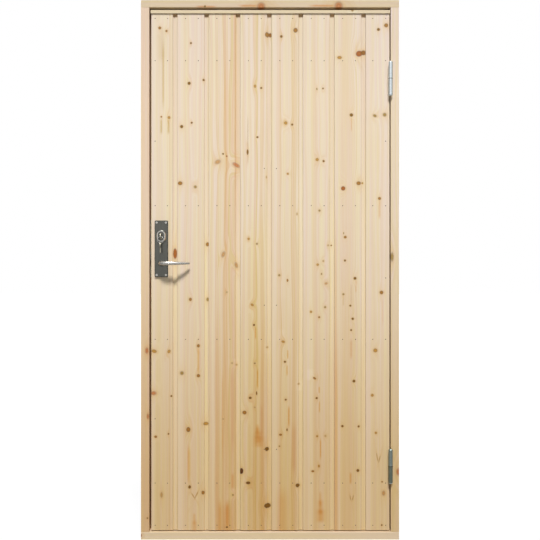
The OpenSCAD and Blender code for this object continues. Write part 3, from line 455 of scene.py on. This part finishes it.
def pine(name, corner, along, pith, ring, warmth, knots, streaks, seed, shade=PLAIN, aged_and_shaded=0.7, sunk=False,
         heart=None):
    """corner is the piece's lowest corner in millimetres; along is the axis that the grain follows.
    Distances count across the face, into the piece and along the grain. sunk says that strips lie below
    the face. heart is the middle and the half width of the darker heartwood, between paler sapwood."""
    material, tree, shader, place = new_material(name)
    moved = vector(tree, "SUBTRACT", place, corner)
    x, deep, z = put(tree, "ShaderNodeSeparateXYZ", moved).outputs
    across, length = (x, z) if along == "Z" else (z, x)
    rings, drift = stem_rings(tree, across, deep, length, pith, ring, seed)
    jag = affine(tree, noise(tree, moved, seed, JAG_SCALE, 2.0, 0.5), JAG_RANGE, -0.5 * JAG_RANGE)
    spot = put(tree, "ShaderNodeCombineXYZ", calc(tree, "ADD", across, jag), deep, length).outputs[0]
    drawn = draw_knots(tree, spot, rings, knots)

    core = MIXED_WOOD
    if heart:
        middle, half = heart
        bent = affine(tree, drift, HEART_DRIFT, across)
        aside = calc(tree, "ABSOLUTE", calc(tree, "SUBTRACT", bent, middle))
        core = ease(tree, aside, half - HEART_FADE, half + HEART_FADE, 1.0, 0.0)
    thread = put(tree, "ShaderNodeCombineXYZ", across, deep, calc(tree, "MULTIPLY", length, FIBRE_STRETCH))
    fibre = noise(tree, thread.outputs[0], seed, FIBRE_SCALE, 4.0, 0.65)
    hue = noise(tree, thread.outputs[0], seed + HUE_SEED, HUE_SCALE, 3.0, 0.65)
    wood, line = grain(tree, drawn["Rings"], fibre, hue, core, warmth, seed)
    wood = draw_streaks(tree, spot, wood, streaks)
    wood = tint(tree, calc(tree, "MULTIPLY", drawn["Glow"], GLOW_SHARE), wood, GLOW)
    wood = tint(tree, drawn["Cover"], wood, drawn["Ink"])
    height = put(tree, "ShaderNodeSeparateXYZ", place).outputs[2]
    wood = age(tree, wood, height, core, aged_and_shaded)
    wood = tint(tree, 1.0, wood, (*shade, 1.0), "MULTIPLY")
    if sunk:
        wood = tone_strips(tree, wood, deep, height)

    bump = put(tree, "ShaderNodeBump")
    relief = affine(tree, line, LINE_RELIEF, calc(tree, "MULTIPLY", fibre, FIBRE_RELIEF))
    fill(tree, bump, {"Strength": RELIEF_STRENGTH, "Distance": RELIEF_HEIGHT, "Height": relief})
    fill(tree, shader, {
        "Base Color": wood, "Roughness": affine(tree, fibre, ROUGH_RANGE, ROUGH_LEAST),
        "Normal": bump.outputs[0], "Specular IOR Level": PINE_GLOSS,
    })
    return material


def dress(node_name, material):
    """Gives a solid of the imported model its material."""
    mesh = nodes[node_name].data
    mesh.materials.clear()
    mesh.materials.append(material)


print("pine ready")

# %% [markdown]
# ## What is seen on the eight boards
# A knot is (across the face, height, width of the oval, its height, tilt, tone), in millimetres and
# degrees; a positive tilt turns it to the left. A streak is (across, lowest, highest, width, strength,
# tone). A knot reaches 60 mm deep and narrows slowly, so the back of a board shows it too.

# %% Knots of the boards
BOARD_KNOTS = {
    1: [(33, 1984, 12, 12, 0, "brown"), (59, 1972, 9, 9, 0, "brown"), (39, 1639, 7, 7, 0, "brown"),
        (69, 1636, 12, 12, 0, "orange"), (11, 729, 22, 14, -15, "orange"), (69, 728, 12, 16, -30, "orange"),
        (9, 566, 24, 17, 0, "rust"), (78, 555, 8, 8, 0, "dark"), (17, 397, 12, 10, 0, "brown"),
        (67, 408, 7, 7, 0, "dark"), (40, 171, 10, 23, 0, "faint"), (92, 1108, 16, 44, 0, "red")],
    2: [(53, 1925, 8, 8, 0, "dark"), (46, 1769, 13, 13, 0, "dark"), (102, 1782, 9, 9, 0, "dark"),
        (56, 1616, 8, 8, 0, "dark"), (17, 1601, 13, 13, 0, "dark"), (11, 1381, 19, 16, 0, "brown"),
        (70, 1367, 13, 13, 0, "olive"), (117, 1144, 14, 17, 0, "brown"), (51, 930, 12, 14, 0, "brown"),
        (118, 930, 12, 16, 0, "olive"), (82, 750, 12, 14, 0, "brown"), (82, 634, 14, 14, 0, "brown"),
        (18, 644, 16, 16, 0, "olive"), (43, 425, 17, 21, 0, "brown"), (111, 447, 21, 14, 0, "orange"),
        (48, 202, 11, 14, 0, "dark"), (100, 180, 13, 16, 0, "brown"), (62, 167, 4, 25, 32, "faint"),
        (75, 172, 4, 33, -26, "faint")],
    3: [(56, 1495, 7, 7, 0, "dark"), (70, 1486, 7, 7, 0, "red"), (35, 1464, 26, 18, 25, "tan"),
        (107, 1452, 34, 17, -30, "rust"), (57, 1105, 15, 27, -20, "tan"), (107, 1063, 14, 25, 18, "tan"),
        (70, 958, 8, 8, 0, "faint"), (91, 683, 8, 8, 0, "faint"), (56, 466, 7, 7, 0, "faint"),
        (94, 171, 8, 7, 0, "olive"), (108, 676, 8, 8, 0, "faint"), (71, 46, 8, 8, 0, "dark")],
    4: [(105, 1958, 18, 22, 0, "brown"), (117, 1957, 14, 18, 0, "umber"), (58, 1758, 10, 14, 0, "orange"),
        (82, 1751, 8, 8, 0, "dark"), (67, 1560, 8, 8, 0, "dark"), (29, 1502, 8, 23, 0, "dark"),
        (102, 1405, 5, 12, 0, "faint"), (33, 1165, 10, 10, 0, "orange"), (65, 1146, 9, 9, 0, "olive"),
        (47, 909, 14, 10, -30, "orange"), (54, 831, 9, 9, 0, "dark"), (57, 682, 8, 8, 0, "olive"),
        (64, 566, 6, 16, 0, "dark"), (39, 548, 12, 10, 0, "dark"), (17, 491, 17, 16, 0, "brown"),
        (105, 744, 8, 8, 0, "faint"), (57, 511, 7, 7, 0, "faint"), (104, 349, 17, 17, 0, "dark"),
        (5, 264, 16, 25, 0, "deep"), (31, 218, 19, 12, 0, "dark"), (106, 129, 27, 21, 0, "dark")],
    5: [(38, 1951, 11, 11, 0, "dark"), (93, 1975, 18, 20, 0, "brown"), (55, 1615, 14, 14, 0, "orange"),
        (80, 1609, 9, 9, 0, "dark"), (63, 1418, 9, 9, 0, "orange"), (99, 1262, 6, 12, 0, "faint"),
        (30, 1024, 10, 10, 0, "olive"), (62, 1004, 7, 12, 0, "brown"), (45, 766, 14, 10, -20, "orange"),
        (52, 688, 9, 9, 0, "dark"), (55, 541, 8, 8, 0, "dark"), (60, 424, 6, 12, 0, "dark"),
        (35, 405, 12, 9, 0, "brown"), (105, 602, 8, 8, 0, "faint"), (31, 360, 7, 7, 0, "olive"),
        (101, 208, 17, 16, 0, "dark")],
    6: [(54, 1747, 5, 10, 0, "olive"), (78, 1749, 7, 7, 0, "dark"), (55, 1473, 13, 13, 0, "orange"),
        (80, 1467, 9, 9, 0, "dark"), (64, 1275, 9, 9, 0, "olive"), (98, 1140, 8, 8, 0, "faint"),
        (110, 1140, 6, 6, 0, "dark"), (79, 1079, 8, 8, 0, "faint"), (57, 1065, 10, 10, 0, "orange"),
        (90, 992, 13, 10, 20, "tan"), (86, 900, 9, 9, 0, "olive"), (31, 882, 10, 10, 0, "orange"),
        (63, 861, 8, 8, 0, "brown"), (72, 1029, 6, 9, 0, "olive"), (45, 624, 14, 9, -35, "brown"),
        (53, 547, 9, 9, 0, "dark"), (55, 399, 9, 9, 0, "orange"), (87, 400, 8, 8, 0, "faint"),
        (62, 283, 8, 12, 0, "orange"), (38, 263, 12, 9, 0, "brown")],
    7: [(20, 1869, 19, 13, 0, "orange"), (96, 1884, 27, 24, 20, "red"), (113, 1889, 21, 20, 0, "umber"),
        (66, 1646, 14, 14, 0, "dark"), (34, 1361, 18, 18, 0, "red"), (94, 1381, 19, 16, 0, "brown"),
        (109, 1382, 8, 8, 0, "orange"), (42, 1172, 12, 11, 0, "brown"), (36, 1187, 4, 9, 0, "olive"),
        (41, 1081, 9, 9, 0, "dark"), (80, 1012, 12, 12, 0, "dark"), (35, 950, 9, 9, 0, "olive"),
        (62, 906, 8, 8, 0, "dark"), (71, 855, 10, 10, 0, "dark"), (65, 811, 8, 8, 0, "dark"),
        (76, 613, 12, 12, 0, "dark"), (31, 438, 10, 10, 0, "dark"), (94, 437, 9, 9, 0, "dark"),
        (91, 266, 12, 12, 0, "dark"), (62, 160, 4, 22, 12, "faint"), (72, 160, 4, 22, -12, "faint")],
    8: [(49, 1978, 12, 12, 0, "dark"), (79, 1994, 17, 17, 0, "brown"), (35, 1643, 17, 12, -25, "olive"),
        (73, 1647, 16, 16, 0, "olive"), (53, 1322, 12, 12, 0, "brown"), (61, 957, 15, 15, 0, "brown"),
        (37, 732, 17, 16, 0, "orange"), (25, 558, 12, 12, 0, "orange"), (39, 412, 10, 10, 0, "orange"),
        (63, 222, 7, 7, 0, "brown"), (69, 178, 14, 21, 0, "tan"), (62, 54, 7, 7, 0, "dark"),
        (44, 318, 4, 34, 10, "faint"), (53, 310, 4, 28, -15, "faint")],
}
print(sum(len(knots) for knots in BOARD_KNOTS.values()), "knots")

# %% Streaks of the boards
BOARD_STREAKS = {
    1: [(42, 1840, 2000, 26, 0.55, "olive"), (46, 1640, 1960, 9, 1.2, "olive"),
        (39, 1565, 1640, 8, 1.3, "olive"), (67, 1565, 1640, 8, 1.3, "olive")],
    2: [(82, 625, 762, 9, 1.1, "amber"), (45, 205, 378, 10, 1.1, "amber"), (66, 50, 105, 10, 0.8, "amber"),
        (67, 5, 80, 19, 0.9, "amber")],
    3: [(68, -200, 2300, 16, 0.75, "orange"), (103, 1010, 2700, 9, 0.7, "orange"),
        (103, -900, 1250, 10, 0.22, "orange"), (113, 1010, 2700, 16, 0.25, "orange"),
        (34, -200, 950, 20, 0.6, "orange"), (94, 300, 720, 13, 0.6, "red"),
        (68, -60, 160, 50, 0.7, "orange"), (54, 280, 680, 5, 1.0, "amber"),
        (98, 660, 706, 36, 1.2, "light"), (72, 15, 158, 14, 1.2, "amber"), (93, 185, 262, 10, 0.9, "amber"),
        (93, 145, 205, 40, 1.3, "light"), (43, -40, 170, 14, 0.9, "amber")],
    4: [(30, 1445, 1662, 3, 0.9, "dark"), (60, 770, 830, 4, 1.5, "amber"), (68, 570, 670, 5, 1.5, "amber"),
        (67, 405, 450, 10, 0.9, "amber"), (68, 385, 440, 18, 0.9, "amber"),
        (70, 366, 425, 27, 0.9, "amber"), (72, 350, 405, 35, 0.9, "amber"), (84, 370, 540, 9, 0.6, "red"),
        (105, 715, 765, 22, 1.0, "light"), (88, -300, 1000, 22, 0.45, "orange"),
        (60, 450, 1350, 100, 0.67, "yellow"), (113, 300, 2300, 16, 0.9, "cool")],
    5: [(63, 695, 738, 4, 1.5, "amber"), (60, 628, 680, 4, 1.5, "amber"), (67, 425, 525, 6, 1.6, "amber"),
        (86, 230, 470, 16, 0.7, "red"), (108, 570, 620, 26, 1.2, "light"), (38, 760, 820, 30, 0.9, "light"),
        (42, -60, 220, 40, 0.8, "orange"), (113, 500, 2100, 16, 1.0, "cool")],
    6: [(63, 563, 594, 4, 1.4, "amber"), (64, 485, 540, 4, 1.4, "amber"), (68, 300, 400, 5, 1.6, "amber"),
        (67, 120, 190, 9, 0.8, "amber"), (68, 88, 160, 18, 1.1, "amber"), (69, 58, 122, 28, 1.15, "amber"),
        (28, 610, 665, 30, 1.2, "light")],
    7: [(66, 1575, 1648, 5, 0.9, "orange"), (65, 690, 785, 8, 0.9, "orange"),
        (63, 208, 264, 8, 1.2, "amber"), (5, -300, 1500, 10, 0.8, "orange"),
        (7, -300, 900, 16, 0.68, "amber"), (65, 900, 1000, 6, 0.7, "olive"),
        (84, 950, 1012, 6, 0.8, "orange"), (35, 900, 952, 6, 0.6, "olive")],
    8: [(53, 1235, 1325, 8, 0.9, "orange"), (66, 820, 950, 6, 0.5, "orange"),
        (50, 1500, 2300, 70, 1.0, "cool"), (45, 250, 1150, 90, 0.5, "light")],
}
print(sum(len(streaks) for streaks in BOARD_STREAKS.values()), "streaks")

# %% [markdown]
# ## Board materials
# Every board is sawn from another place in a stem: it has its own pith, its own heartwood (middle and half
# width), its own share of yellowing and painted shade at the foot, and its own warmth. Where a face turns
# down to a sunk strip, its rounded edge lies in a little shade. The edge is thinner than a pixel, so a thin
# dark streak of painted shade is drawn along it.

# %% Board materials
# The board's age is how far its foot darkens: partly yellowing, partly painted shade.
Board = namedtuple("Board", "pith heart age warmth face left_shade right_shade")
BOARDS = {
    1: Board((30, 95), (48, 30), 0.64, 0.30, 84, 0.0, 0.38),
    2: Board((70, 60), (64, 36), 0.58, 0.30, 105, 0.45, 0.15),
    3: Board((115, 80), (68, 40), 0.64, 0.55, 105, 0.5, 0.1),
    4: Board((40, 70), (64, 33), 0.79, 0.45, 105, 0.42, 0.3),
    5: Board((62, 55), (64, 33), 0.72, 0.46, 105, 0.0, 0.32),
    6: Board((80, 75), (72, 30), 0.68, 0.36, 105, 0.0, 0.42),
    7: Board((48, 90), (60, 36), 0.66, 0.37, 105, 0.0, 0.4),
    8: Board((20, 65), (60, 40), 0.58, 0.21, 92, 0.0, 0.0),
}
BOARD_RING = 3.2
BOARD_SEED_STEP = 7.3
EDGE_WIDE, EDGE_IN = 3.0, 0.5
ALL_ALONG = (-3000, 5000)

for number, board in BOARDS.items():
    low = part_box(f"board_{number}")[0]
    corner = (low[0] / MM, low[1] / MM, 0.0)
    streaks = list(BOARD_STREAKS[number])
    for across, shade in ((board.face - EDGE_IN, board.right_shade), (EDGE_IN, board.left_shade)):
        if shade:
            streaks.append((across, *ALL_ALONG, EDGE_WIDE, shade, "dark"))
    wood = pine(f"pine_board_{number}", corner, "Z", board.pith, BOARD_RING, board.warmth,
                BOARD_KNOTS[number], streaks, number * BOARD_SEED_STEP, aged_and_shaded=board.age, sunk=True,
                heart=board.heart)
    dress(f"board_{number}", wood)
print(len(BOARDS), "boards dressed")

# %% [markdown]
# ## Frame, drip cap and the framing behind the boards
# These lengths come from the same pine. The head, the sill, the cap, the rails and two of the stops run
# along X, the rest along Z. The frame and the cap have the knots that are seen on them. The stops and the
# framing at the back get knots at about even steps along, and at steps of the golden ratio across, so
# that no two pieces look alike.

# %% Knots of the frame
FRAME_KNOTS = {
    "head": [(4, 248, 8, 8, 0, "dark"), (3, 466, 36, 34, 0, "rust"), (5, 766, 38, 34, 0, "rust")],
    "left_jamb": [(23, 732, 14, 26, 0, "rust"), (27, 477, 9, 22, 0, "rust"), (25, 83, 7, 7, 0, "olive")],
    "right_jamb": [(5, 1095, 14, 40, 0, "olive"), (29, 262, 18, 30, 0, "rust")],
    "sill": [(16, 0, 12, 8, 0, "red")],
    "drip_cap": [(10, 782, 9, 9, 0, "brown")],
}
FRAME_STREAKS = {
    "head": [(6, 370, 480, 8, 1.3, "flame"), (6, 640, 790, 8, 1.3, "flame"),
        (3, 205, 300, 6, 1.2, "flame")],
}
FRAMING = ["head_stop", "left_stop", "right_stop", "sill_stop", "lock_stile", "hinge_stile",
           "top_rail", "upper_mid_rail", "lower_mid_rail", "bottom_rail",
           "upper_muntin", "middle_muntin", "lower_muntin"]
FRAME_SHADE = {"head": (0.85, 0.81, 0.70), "left_jamb": (0.96, 0.886, 0.828), "sill": (0.87, 0.82, 0.74),
               "right_jamb": (1.0, 1.02, 1.1), "drip_cap": (0.955, 1.0, 0.94)}
GOLDEN = 0.618034
KNOT_SPACING, FEWEST_KNOTS = 190.0, 3
LEAST_KNOT, KNOT_RANGE, KNOT_STRETCH = 8.0, 9.0, 1.15
WIDTH_STEP, WIDTH_SALT = 0.37, 0.21
SHIFT_LEAST, SHIFT_RANGE, SHIFT_SALT = 0.3, 0.5, 0.37
SPREAD_TONES = ["brown", "dark", "orange", "brown", "red", "olive"]


def spread_knots(width, length, start, salt):
    """Across, a knot lies at the fraction of its number plus salt, times the golden ratio; along, at even
    steps with a shift of up to half a step. Its width is 8 to 17 mm. salt makes each piece differ."""
    count = max(FEWEST_KNOTS, int(length / KNOT_SPACING))
    order = np.arange(count)
    across = ((order + salt) * GOLDEN % 1.0) * width
    shift = SHIFT_LEAST + SHIFT_RANGE * ((order * GOLDEN + salt * SHIFT_SALT) % 1.0)
    along = start + (order + shift) * length / count
    wide = LEAST_KNOT + KNOT_RANGE * ((order * WIDTH_STEP + salt * WIDTH_SALT) % 1.0)
    tones = [SPREAD_TONES[(place + salt) % len(SPREAD_TONES)] for place in range(count)]
    return list(zip(across, along, wide, wide * KNOT_STRETCH, np.zeros(count), tones))


print(len(FRAME_KNOTS), "pieces of the frame,", len(FRAMING), "of the framing")

# %% Frame pine
FRAME_RING = 3.0
FRAME_WARMTH, FRAMING_WARMTH = 0.42, 0.55
FIRST_PITH, PITH_STEP = 60.0, 5
FIRST_SEED, SEED_STEP = 60, 5.1
# How far the foot darkens: partly yellowing, partly painted shade.
FRAME_AGE_AND_SHADE, SILL_AGE_AND_SHADE = 0.7, 0.0

for salt, name in enumerate([*FRAME_KNOTS, *FRAMING]):
    low, high = (np.array(corner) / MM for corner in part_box(name))
    size = high - low
    level = size[0] > size[2]
    along, width, length, start = ("X", size[2], size[0], 0.0) if level else ("Z", size[0], size[2], low[2])
    knots = FRAME_KNOTS.get(name) or spread_knots(width, length, start, salt)
    wood = pine(f"pine_{name}", (low[0], low[1], low[2] if level else 0.0), along,
                (width * 0.5, FIRST_PITH + PITH_STEP * salt), FRAME_RING,
                FRAME_WARMTH if name in FRAME_KNOTS else FRAMING_WARMTH, knots, FRAME_STREAKS.get(name, ()),
                FIRST_SEED + salt * SEED_STEP, FRAME_SHADE.get(name, PLAIN),
                SILL_AGE_AND_SHADE if name == "sill" else FRAME_AGE_AND_SHADE)
    dress(name, wood)
print("frame and framing dressed")

# %% [markdown]
# ## Metals
# The hinges and lock plates are zinc plated, the handle plates are polished dark nickel, the levers satin
# nickel. The lower hinge is darker than the upper one, partly from wear and partly as painted shade, and the
# nails have begun to rust.
# What tells metals apart is how sharp their reflections are, so each gets its own roughness, broken up by
# noise: cloudy for plating, streaked for brushed pieces. Colour varies a little with the same noise.

# %% Metal finishes
METAL_NOISE = 0.35
SPOT_LOW, SPOT_HIGH = 0.3, 0.7
CLOUDY = (0.5, 0.5, 0.5)


def metal(name, colour, roughness, cloud, stretch, shift, bare=1.0):
    """Roughness and colour both follow one noise; stretch draws it out along an axis for a brushed look.
    bare is the share of clean metal; the rest is rust or dirt, which has the same colour but no mirror."""
    material, tree, shader, place = new_material(name)
    spots = noise(tree, vector(tree, "MULTIPLY", place, stretch), None, METAL_NOISE, 4.0, 0.6, "3D")
    dark = tuple(part * (1.0 - shift) for part in colour[:3]) + (1.0,)
    fill(tree, shader, {
        "Base Color": tint(tree, ease(tree, spots, SPOT_LOW, SPOT_HIGH), dark, colour),
        "Roughness": affine(tree, spots, cloud * 2, roughness - cloud), "Metallic": bare,
    })
    return material


FINISH = {
    "zinc": metal("zinc_plate", linear(220, 229, 232), 0.34, 0.1, CLOUDY, 0.16),
    "bright_steel": metal("bright_steel", linear(196, 196, 194), 0.3, 0.06, PLAIN, 0.12),
    "dark_nickel": metal("dark_nickel", linear(104, 104, 98), 0.2, 0.05, (0.4, 0.4, 0.05), 0.14),
    "satin_nickel": metal("satin_nickel", linear(206, 204, 198), 0.27, 0.05, (0.3, 1.5, 1.5), 0.08),
    "key_brass": metal("nickel_silver", linear(204, 196, 174), 0.25, 0.06, (1.0, 1.0, 0.3), 0.14),
    "nail_steel": metal("nail_steel", linear(112, 80, 70), 0.6, 0.1, (2.0, 2.0, 2.0), 0.3, 0.3),
}
for entry in frame["record"]["subparts"]:
    if entry["material_slot"] in FINISH:
        dress(entry["node"], FINISH[entry["material_slot"]])
# The lower hinge is darker: partly wear, partly painted shade.
dress("lower_hinge_door_half", metal("aged_zinc_in_painted_shade", linear(156, 167, 160), 0.4, 0.1, CLOUDY, 0.2))
dress("lower_hinge_frame_half", metal("worn_zinc_in_painted_shade", linear(131, 140, 127), 0.4, 0.1, CLOUDY, 0.2))
for shaded in ("cylinder_body", "cylinder_plug", "hinge_washers"):
    dress(shaded, FINISH["dark_nickel"])
print(len(FINISH) + 2, "metals")

# %% [markdown]
# ## Surfaces from arrays
# A round bar is a ring of points carried along a line. With numpy the whole grid is one array:
# rows are rings, columns are points on a ring, and the faces are the grid's cells as one index array.

# %% Skin over rings
SHARP_EDGE = math.radians(40)


def skin(name, rings, material):
    """rings is (row, column, xyz); cell (i, j) joins rows i and i + 1, and a cap closes each end."""
    rows, columns = rings.shape[:2]
    place = np.arange(rows * columns).reshape(rows, columns)
    beside = np.roll(place, -1, axis=1)
    cells = np.stack([place[:-1], beside[:-1], beside[1:], place[1:]], axis=-1).reshape(-1, 4)
    caps = [place[0][::-1].tolist(), place[-1].tolist()]
    mesh = bpy.data.meshes.new(name)
    mesh.from_pydata(rings.reshape(-1, 3).tolist(), [], cells.tolist() + caps)
    mesh.polygons.foreach_set("use_smooth", np.ones(len(mesh.polygons), dtype=bool))
    mesh.set_sharp_from_angle(angle=SHARP_EDGE)
    mesh.materials.append(material)
    piece = bpy.data.objects.new(name, mesh)
    bpy.context.scene.collection.objects.link(piece)
    return piece


print("skin ready")

# %% [markdown]
# ## Levers
# Each lever is a round bar: straight out of its plate, a quarter bend, then a long bow back to the door,
# tapering to a round tip. The line lies in one level plane, so a ring stands across it on two directions:
# straight up, and level across the heading. Lengths are in millimetres until the rings are set in place.

# %% Levers
NECK_R, GRIP_R, TIP_R = 8.5, 8.0, 4.5
ROOT, NECK, BEND, BOW, GRIP = 7.7, 17.0, 27.0, 125.0, 88.0
BEND_ROWS, BOW_ROWS, CAP_ROWS = 17, 33, 9
CAP_TURN = np.radians(86)
AROUND = np.linspace(0.0, 2 * np.pi, 32, endpoint=False)


def lever_rings(side):
    """The heading turns from 0 to 90 degrees over the bend and on along the bow, while the radius falls.
    The tip ends in rings whose radius is the tip's times the cosine of a growing angle."""
    bend = np.linspace(0.0, np.pi / 2, BEND_ROWS)
    bow = np.linspace(0.0, GRIP / BOW, BOW_ROWS)[1:]
    cap = np.linspace(0.0, CAP_TURN, CAP_ROWS)[1:]
    end = bow[-1]
    x = np.concatenate([[0.0, 0.0], BEND * (1 - np.cos(bend)), BEND + BOW * np.sin(bow),
                        BEND + BOW * np.sin(end) + TIP_R * np.sin(cap) * np.cos(end)])
    y = np.concatenate([[ROOT, 0.0], -NECK - BEND * np.sin(bend), -NECK - BEND + BOW * (1 - np.cos(bow)),
                        -NECK - BEND + BOW * (1 - np.cos(end)) + TIP_R * np.sin(cap) * np.sin(end)])
    heading = np.concatenate([[0.0, 0.0], bend, np.pi / 2 + bow, np.full(cap.size, np.pi / 2 + end)])
    radius = np.concatenate([[NECK_R, NECK_R], NECK_R + (GRIP_R - NECK_R) * bend / bend[-1],
                             GRIP_R + (TIP_R - GRIP_R) * bow / end, TIP_R * np.cos(cap)])
    level = np.cos(AROUND)[None, :] * radius[:, None]
    rings = np.stack([x[:, None] + level * np.cos(heading)[:, None],
                      (y[:, None] + level * np.sin(heading)[:, None]) * side,
                      np.sin(AROUND)[None, :] * radius[:, None]], axis=-1)
    return rings if side > 0 else rings[:, ::-1]


spindle_low, spindle_high = (np.array(corner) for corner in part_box("spindle"))
axis = (spindle_low + spindle_high) / 2
for name, plate, side in (("outer_lever", "outer_plate", 1), ("inner_lever", "inner_plate", -1)):
    low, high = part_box(plate)
    seat = low[1] if side > 0 else high[1]
    rings = lever_rings(side) * MM + np.array([axis[0], seat, axis[2]])
    lever = skin(f"smooth_{name}", rings, FINISH["satin_nickel"])
    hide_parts(name)
    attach(lever, "handle")
    print(name, "tip at", np.round(rings[-1].mean(axis=0), 3).tolist())

# %% [markdown]
# ## Floor
# A grey floor catches the shadow and throws a little light back up. For the camera alone it is mostly
# white, and all white a few metres away, so that it meets the white room without a line.

# %% Floor
FLOOR_EDGE = 30.0
FLOOR_GREY = 0.4
FLOOR_WHITE, FLOOR_GLOW = 0.7, 1.28
FADE_START, FADE_END = 0.8, 2.6
WHITE = (1.0, 1.0, 1.0, 1.0)

floor_mesh = bpy.data.meshes.new("floor")
corners = [(-FLOOR_EDGE, -FLOOR_EDGE, 0), (FLOOR_EDGE, -FLOOR_EDGE, 0),
           (FLOOR_EDGE, FLOOR_EDGE, 0), (-FLOOR_EDGE, FLOOR_EDGE, 0)]
floor_mesh.from_pydata(corners, [], [(0, 1, 2, 3)])
floor = bpy.data.objects.new("floor", floor_mesh)
bpy.context.scene.collection.objects.link(floor)

floor_material = bpy.data.materials.new("pale_floor")
floor_material.use_nodes = True
tree = floor_material.node_tree
tree.nodes.clear()
seen = put(tree, "ShaderNodeLightPath").outputs["Is Camera Ray"]
matt = put(tree, "ShaderNodeBsdfDiffuse", (FLOOR_GREY, FLOOR_GREY, FLOOR_GREY, 1.0)).outputs[0]
bright = put(tree, "ShaderNodeEmission", WHITE, FLOOR_GLOW).outputs[0]
away = vector(tree, "LENGTH", put(tree, "ShaderNodeTexCoord").outputs["Object"])
share = calc(tree, "MULTIPLY", seen, ease(tree, away, FADE_START, FADE_END, FLOOR_WHITE, 1.0))
put(tree, "ShaderNodeOutputMaterial", put(tree, "ShaderNodeMixShader", share, matt, bright).outputs[0])
floor_mesh.materials.append(floor_material)
print("floor", 2 * FLOOR_EDGE, "m wide")

# %% [markdown]
# ## Room and lamp
# One wide lamp high in front gives the shadow under the drip cap, and the room's own light fills the rest.
# Metal shows what it mirrors, so mirror rays see another room: bright in front of the door and above it,
# dark at the sides and behind. The camera sees plain white.

# %% Room and lamp
ROOM_LIGHT = 0.22
MIRROR_DARK, MIRROR_BRIGHT = 0.25, 1.0
AHEAD_END = 0.95
ABOVE_START, ABOVE_END = 0.25, 0.85
LAMP_POWER = 3860.0
LAMP_WIDE, LAMP_TALL = 4.2, 2.8
LAMP_PLACE = (0.7, -12.0, 16.5)
LAMP_AIM = (0.0, 0.0, 1.3)

world = bpy.data.worlds.new("white_room")
world.use_nodes = True
bpy.context.scene.world = world
tree = world.node_tree
tree.nodes.clear()
path = put(tree, "ShaderNodeLightPath").outputs
heading = put(tree, "ShaderNodeSeparateXYZ", put(tree, "ShaderNodeTexCoord").outputs["Generated"]).outputs
ahead = ease(tree, calc(tree, "MULTIPLY", heading[1], -1.0), 0.0, AHEAD_END, MIRROR_DARK, MIRROR_BRIGHT)
above = ease(tree, heading[2], ABOVE_START, ABOVE_END, MIRROR_DARK, MIRROR_BRIGHT)
mirror = calc(tree, "MAXIMUM", ahead, above)
fill_room, mirror_room, seen_room = (put(tree, "ShaderNodeBackground", WHITE, power).outputs[0]
                                     for power in (ROOM_LIGHT, mirror, 1.0))
lit = put(tree, "ShaderNodeMixShader", path["Is Glossy Ray"], fill_room, mirror_room).outputs[0]
shown = put(tree, "ShaderNodeMixShader", path["Is Camera Ray"], lit, seen_room).outputs[0]
put(tree, "ShaderNodeOutputWorld", shown)

lamp_data = bpy.data.lights.new("front_lamp", "AREA")
lamp_data.shape = "RECTANGLE"
lamp_data.size = LAMP_WIDE
lamp_data.size_y = LAMP_TALL
lamp_data.energy = LAMP_POWER
lamp = bpy.data.objects.new("front_lamp", lamp_data)
lamp.location = LAMP_PLACE
aim = np.array(LAMP_AIM) - np.array(lamp.location)
tip_down = math.atan2(math.hypot(aim[0], aim[1]), -aim[2])
lamp.rotation_euler = (tip_down, 0.0, math.atan2(aim[1], aim[0]) - math.pi / 2)
bpy.context.scene.collection.objects.link(lamp)
print("lamp", LAMP_POWER, "W, room", ROOM_LIGHT)
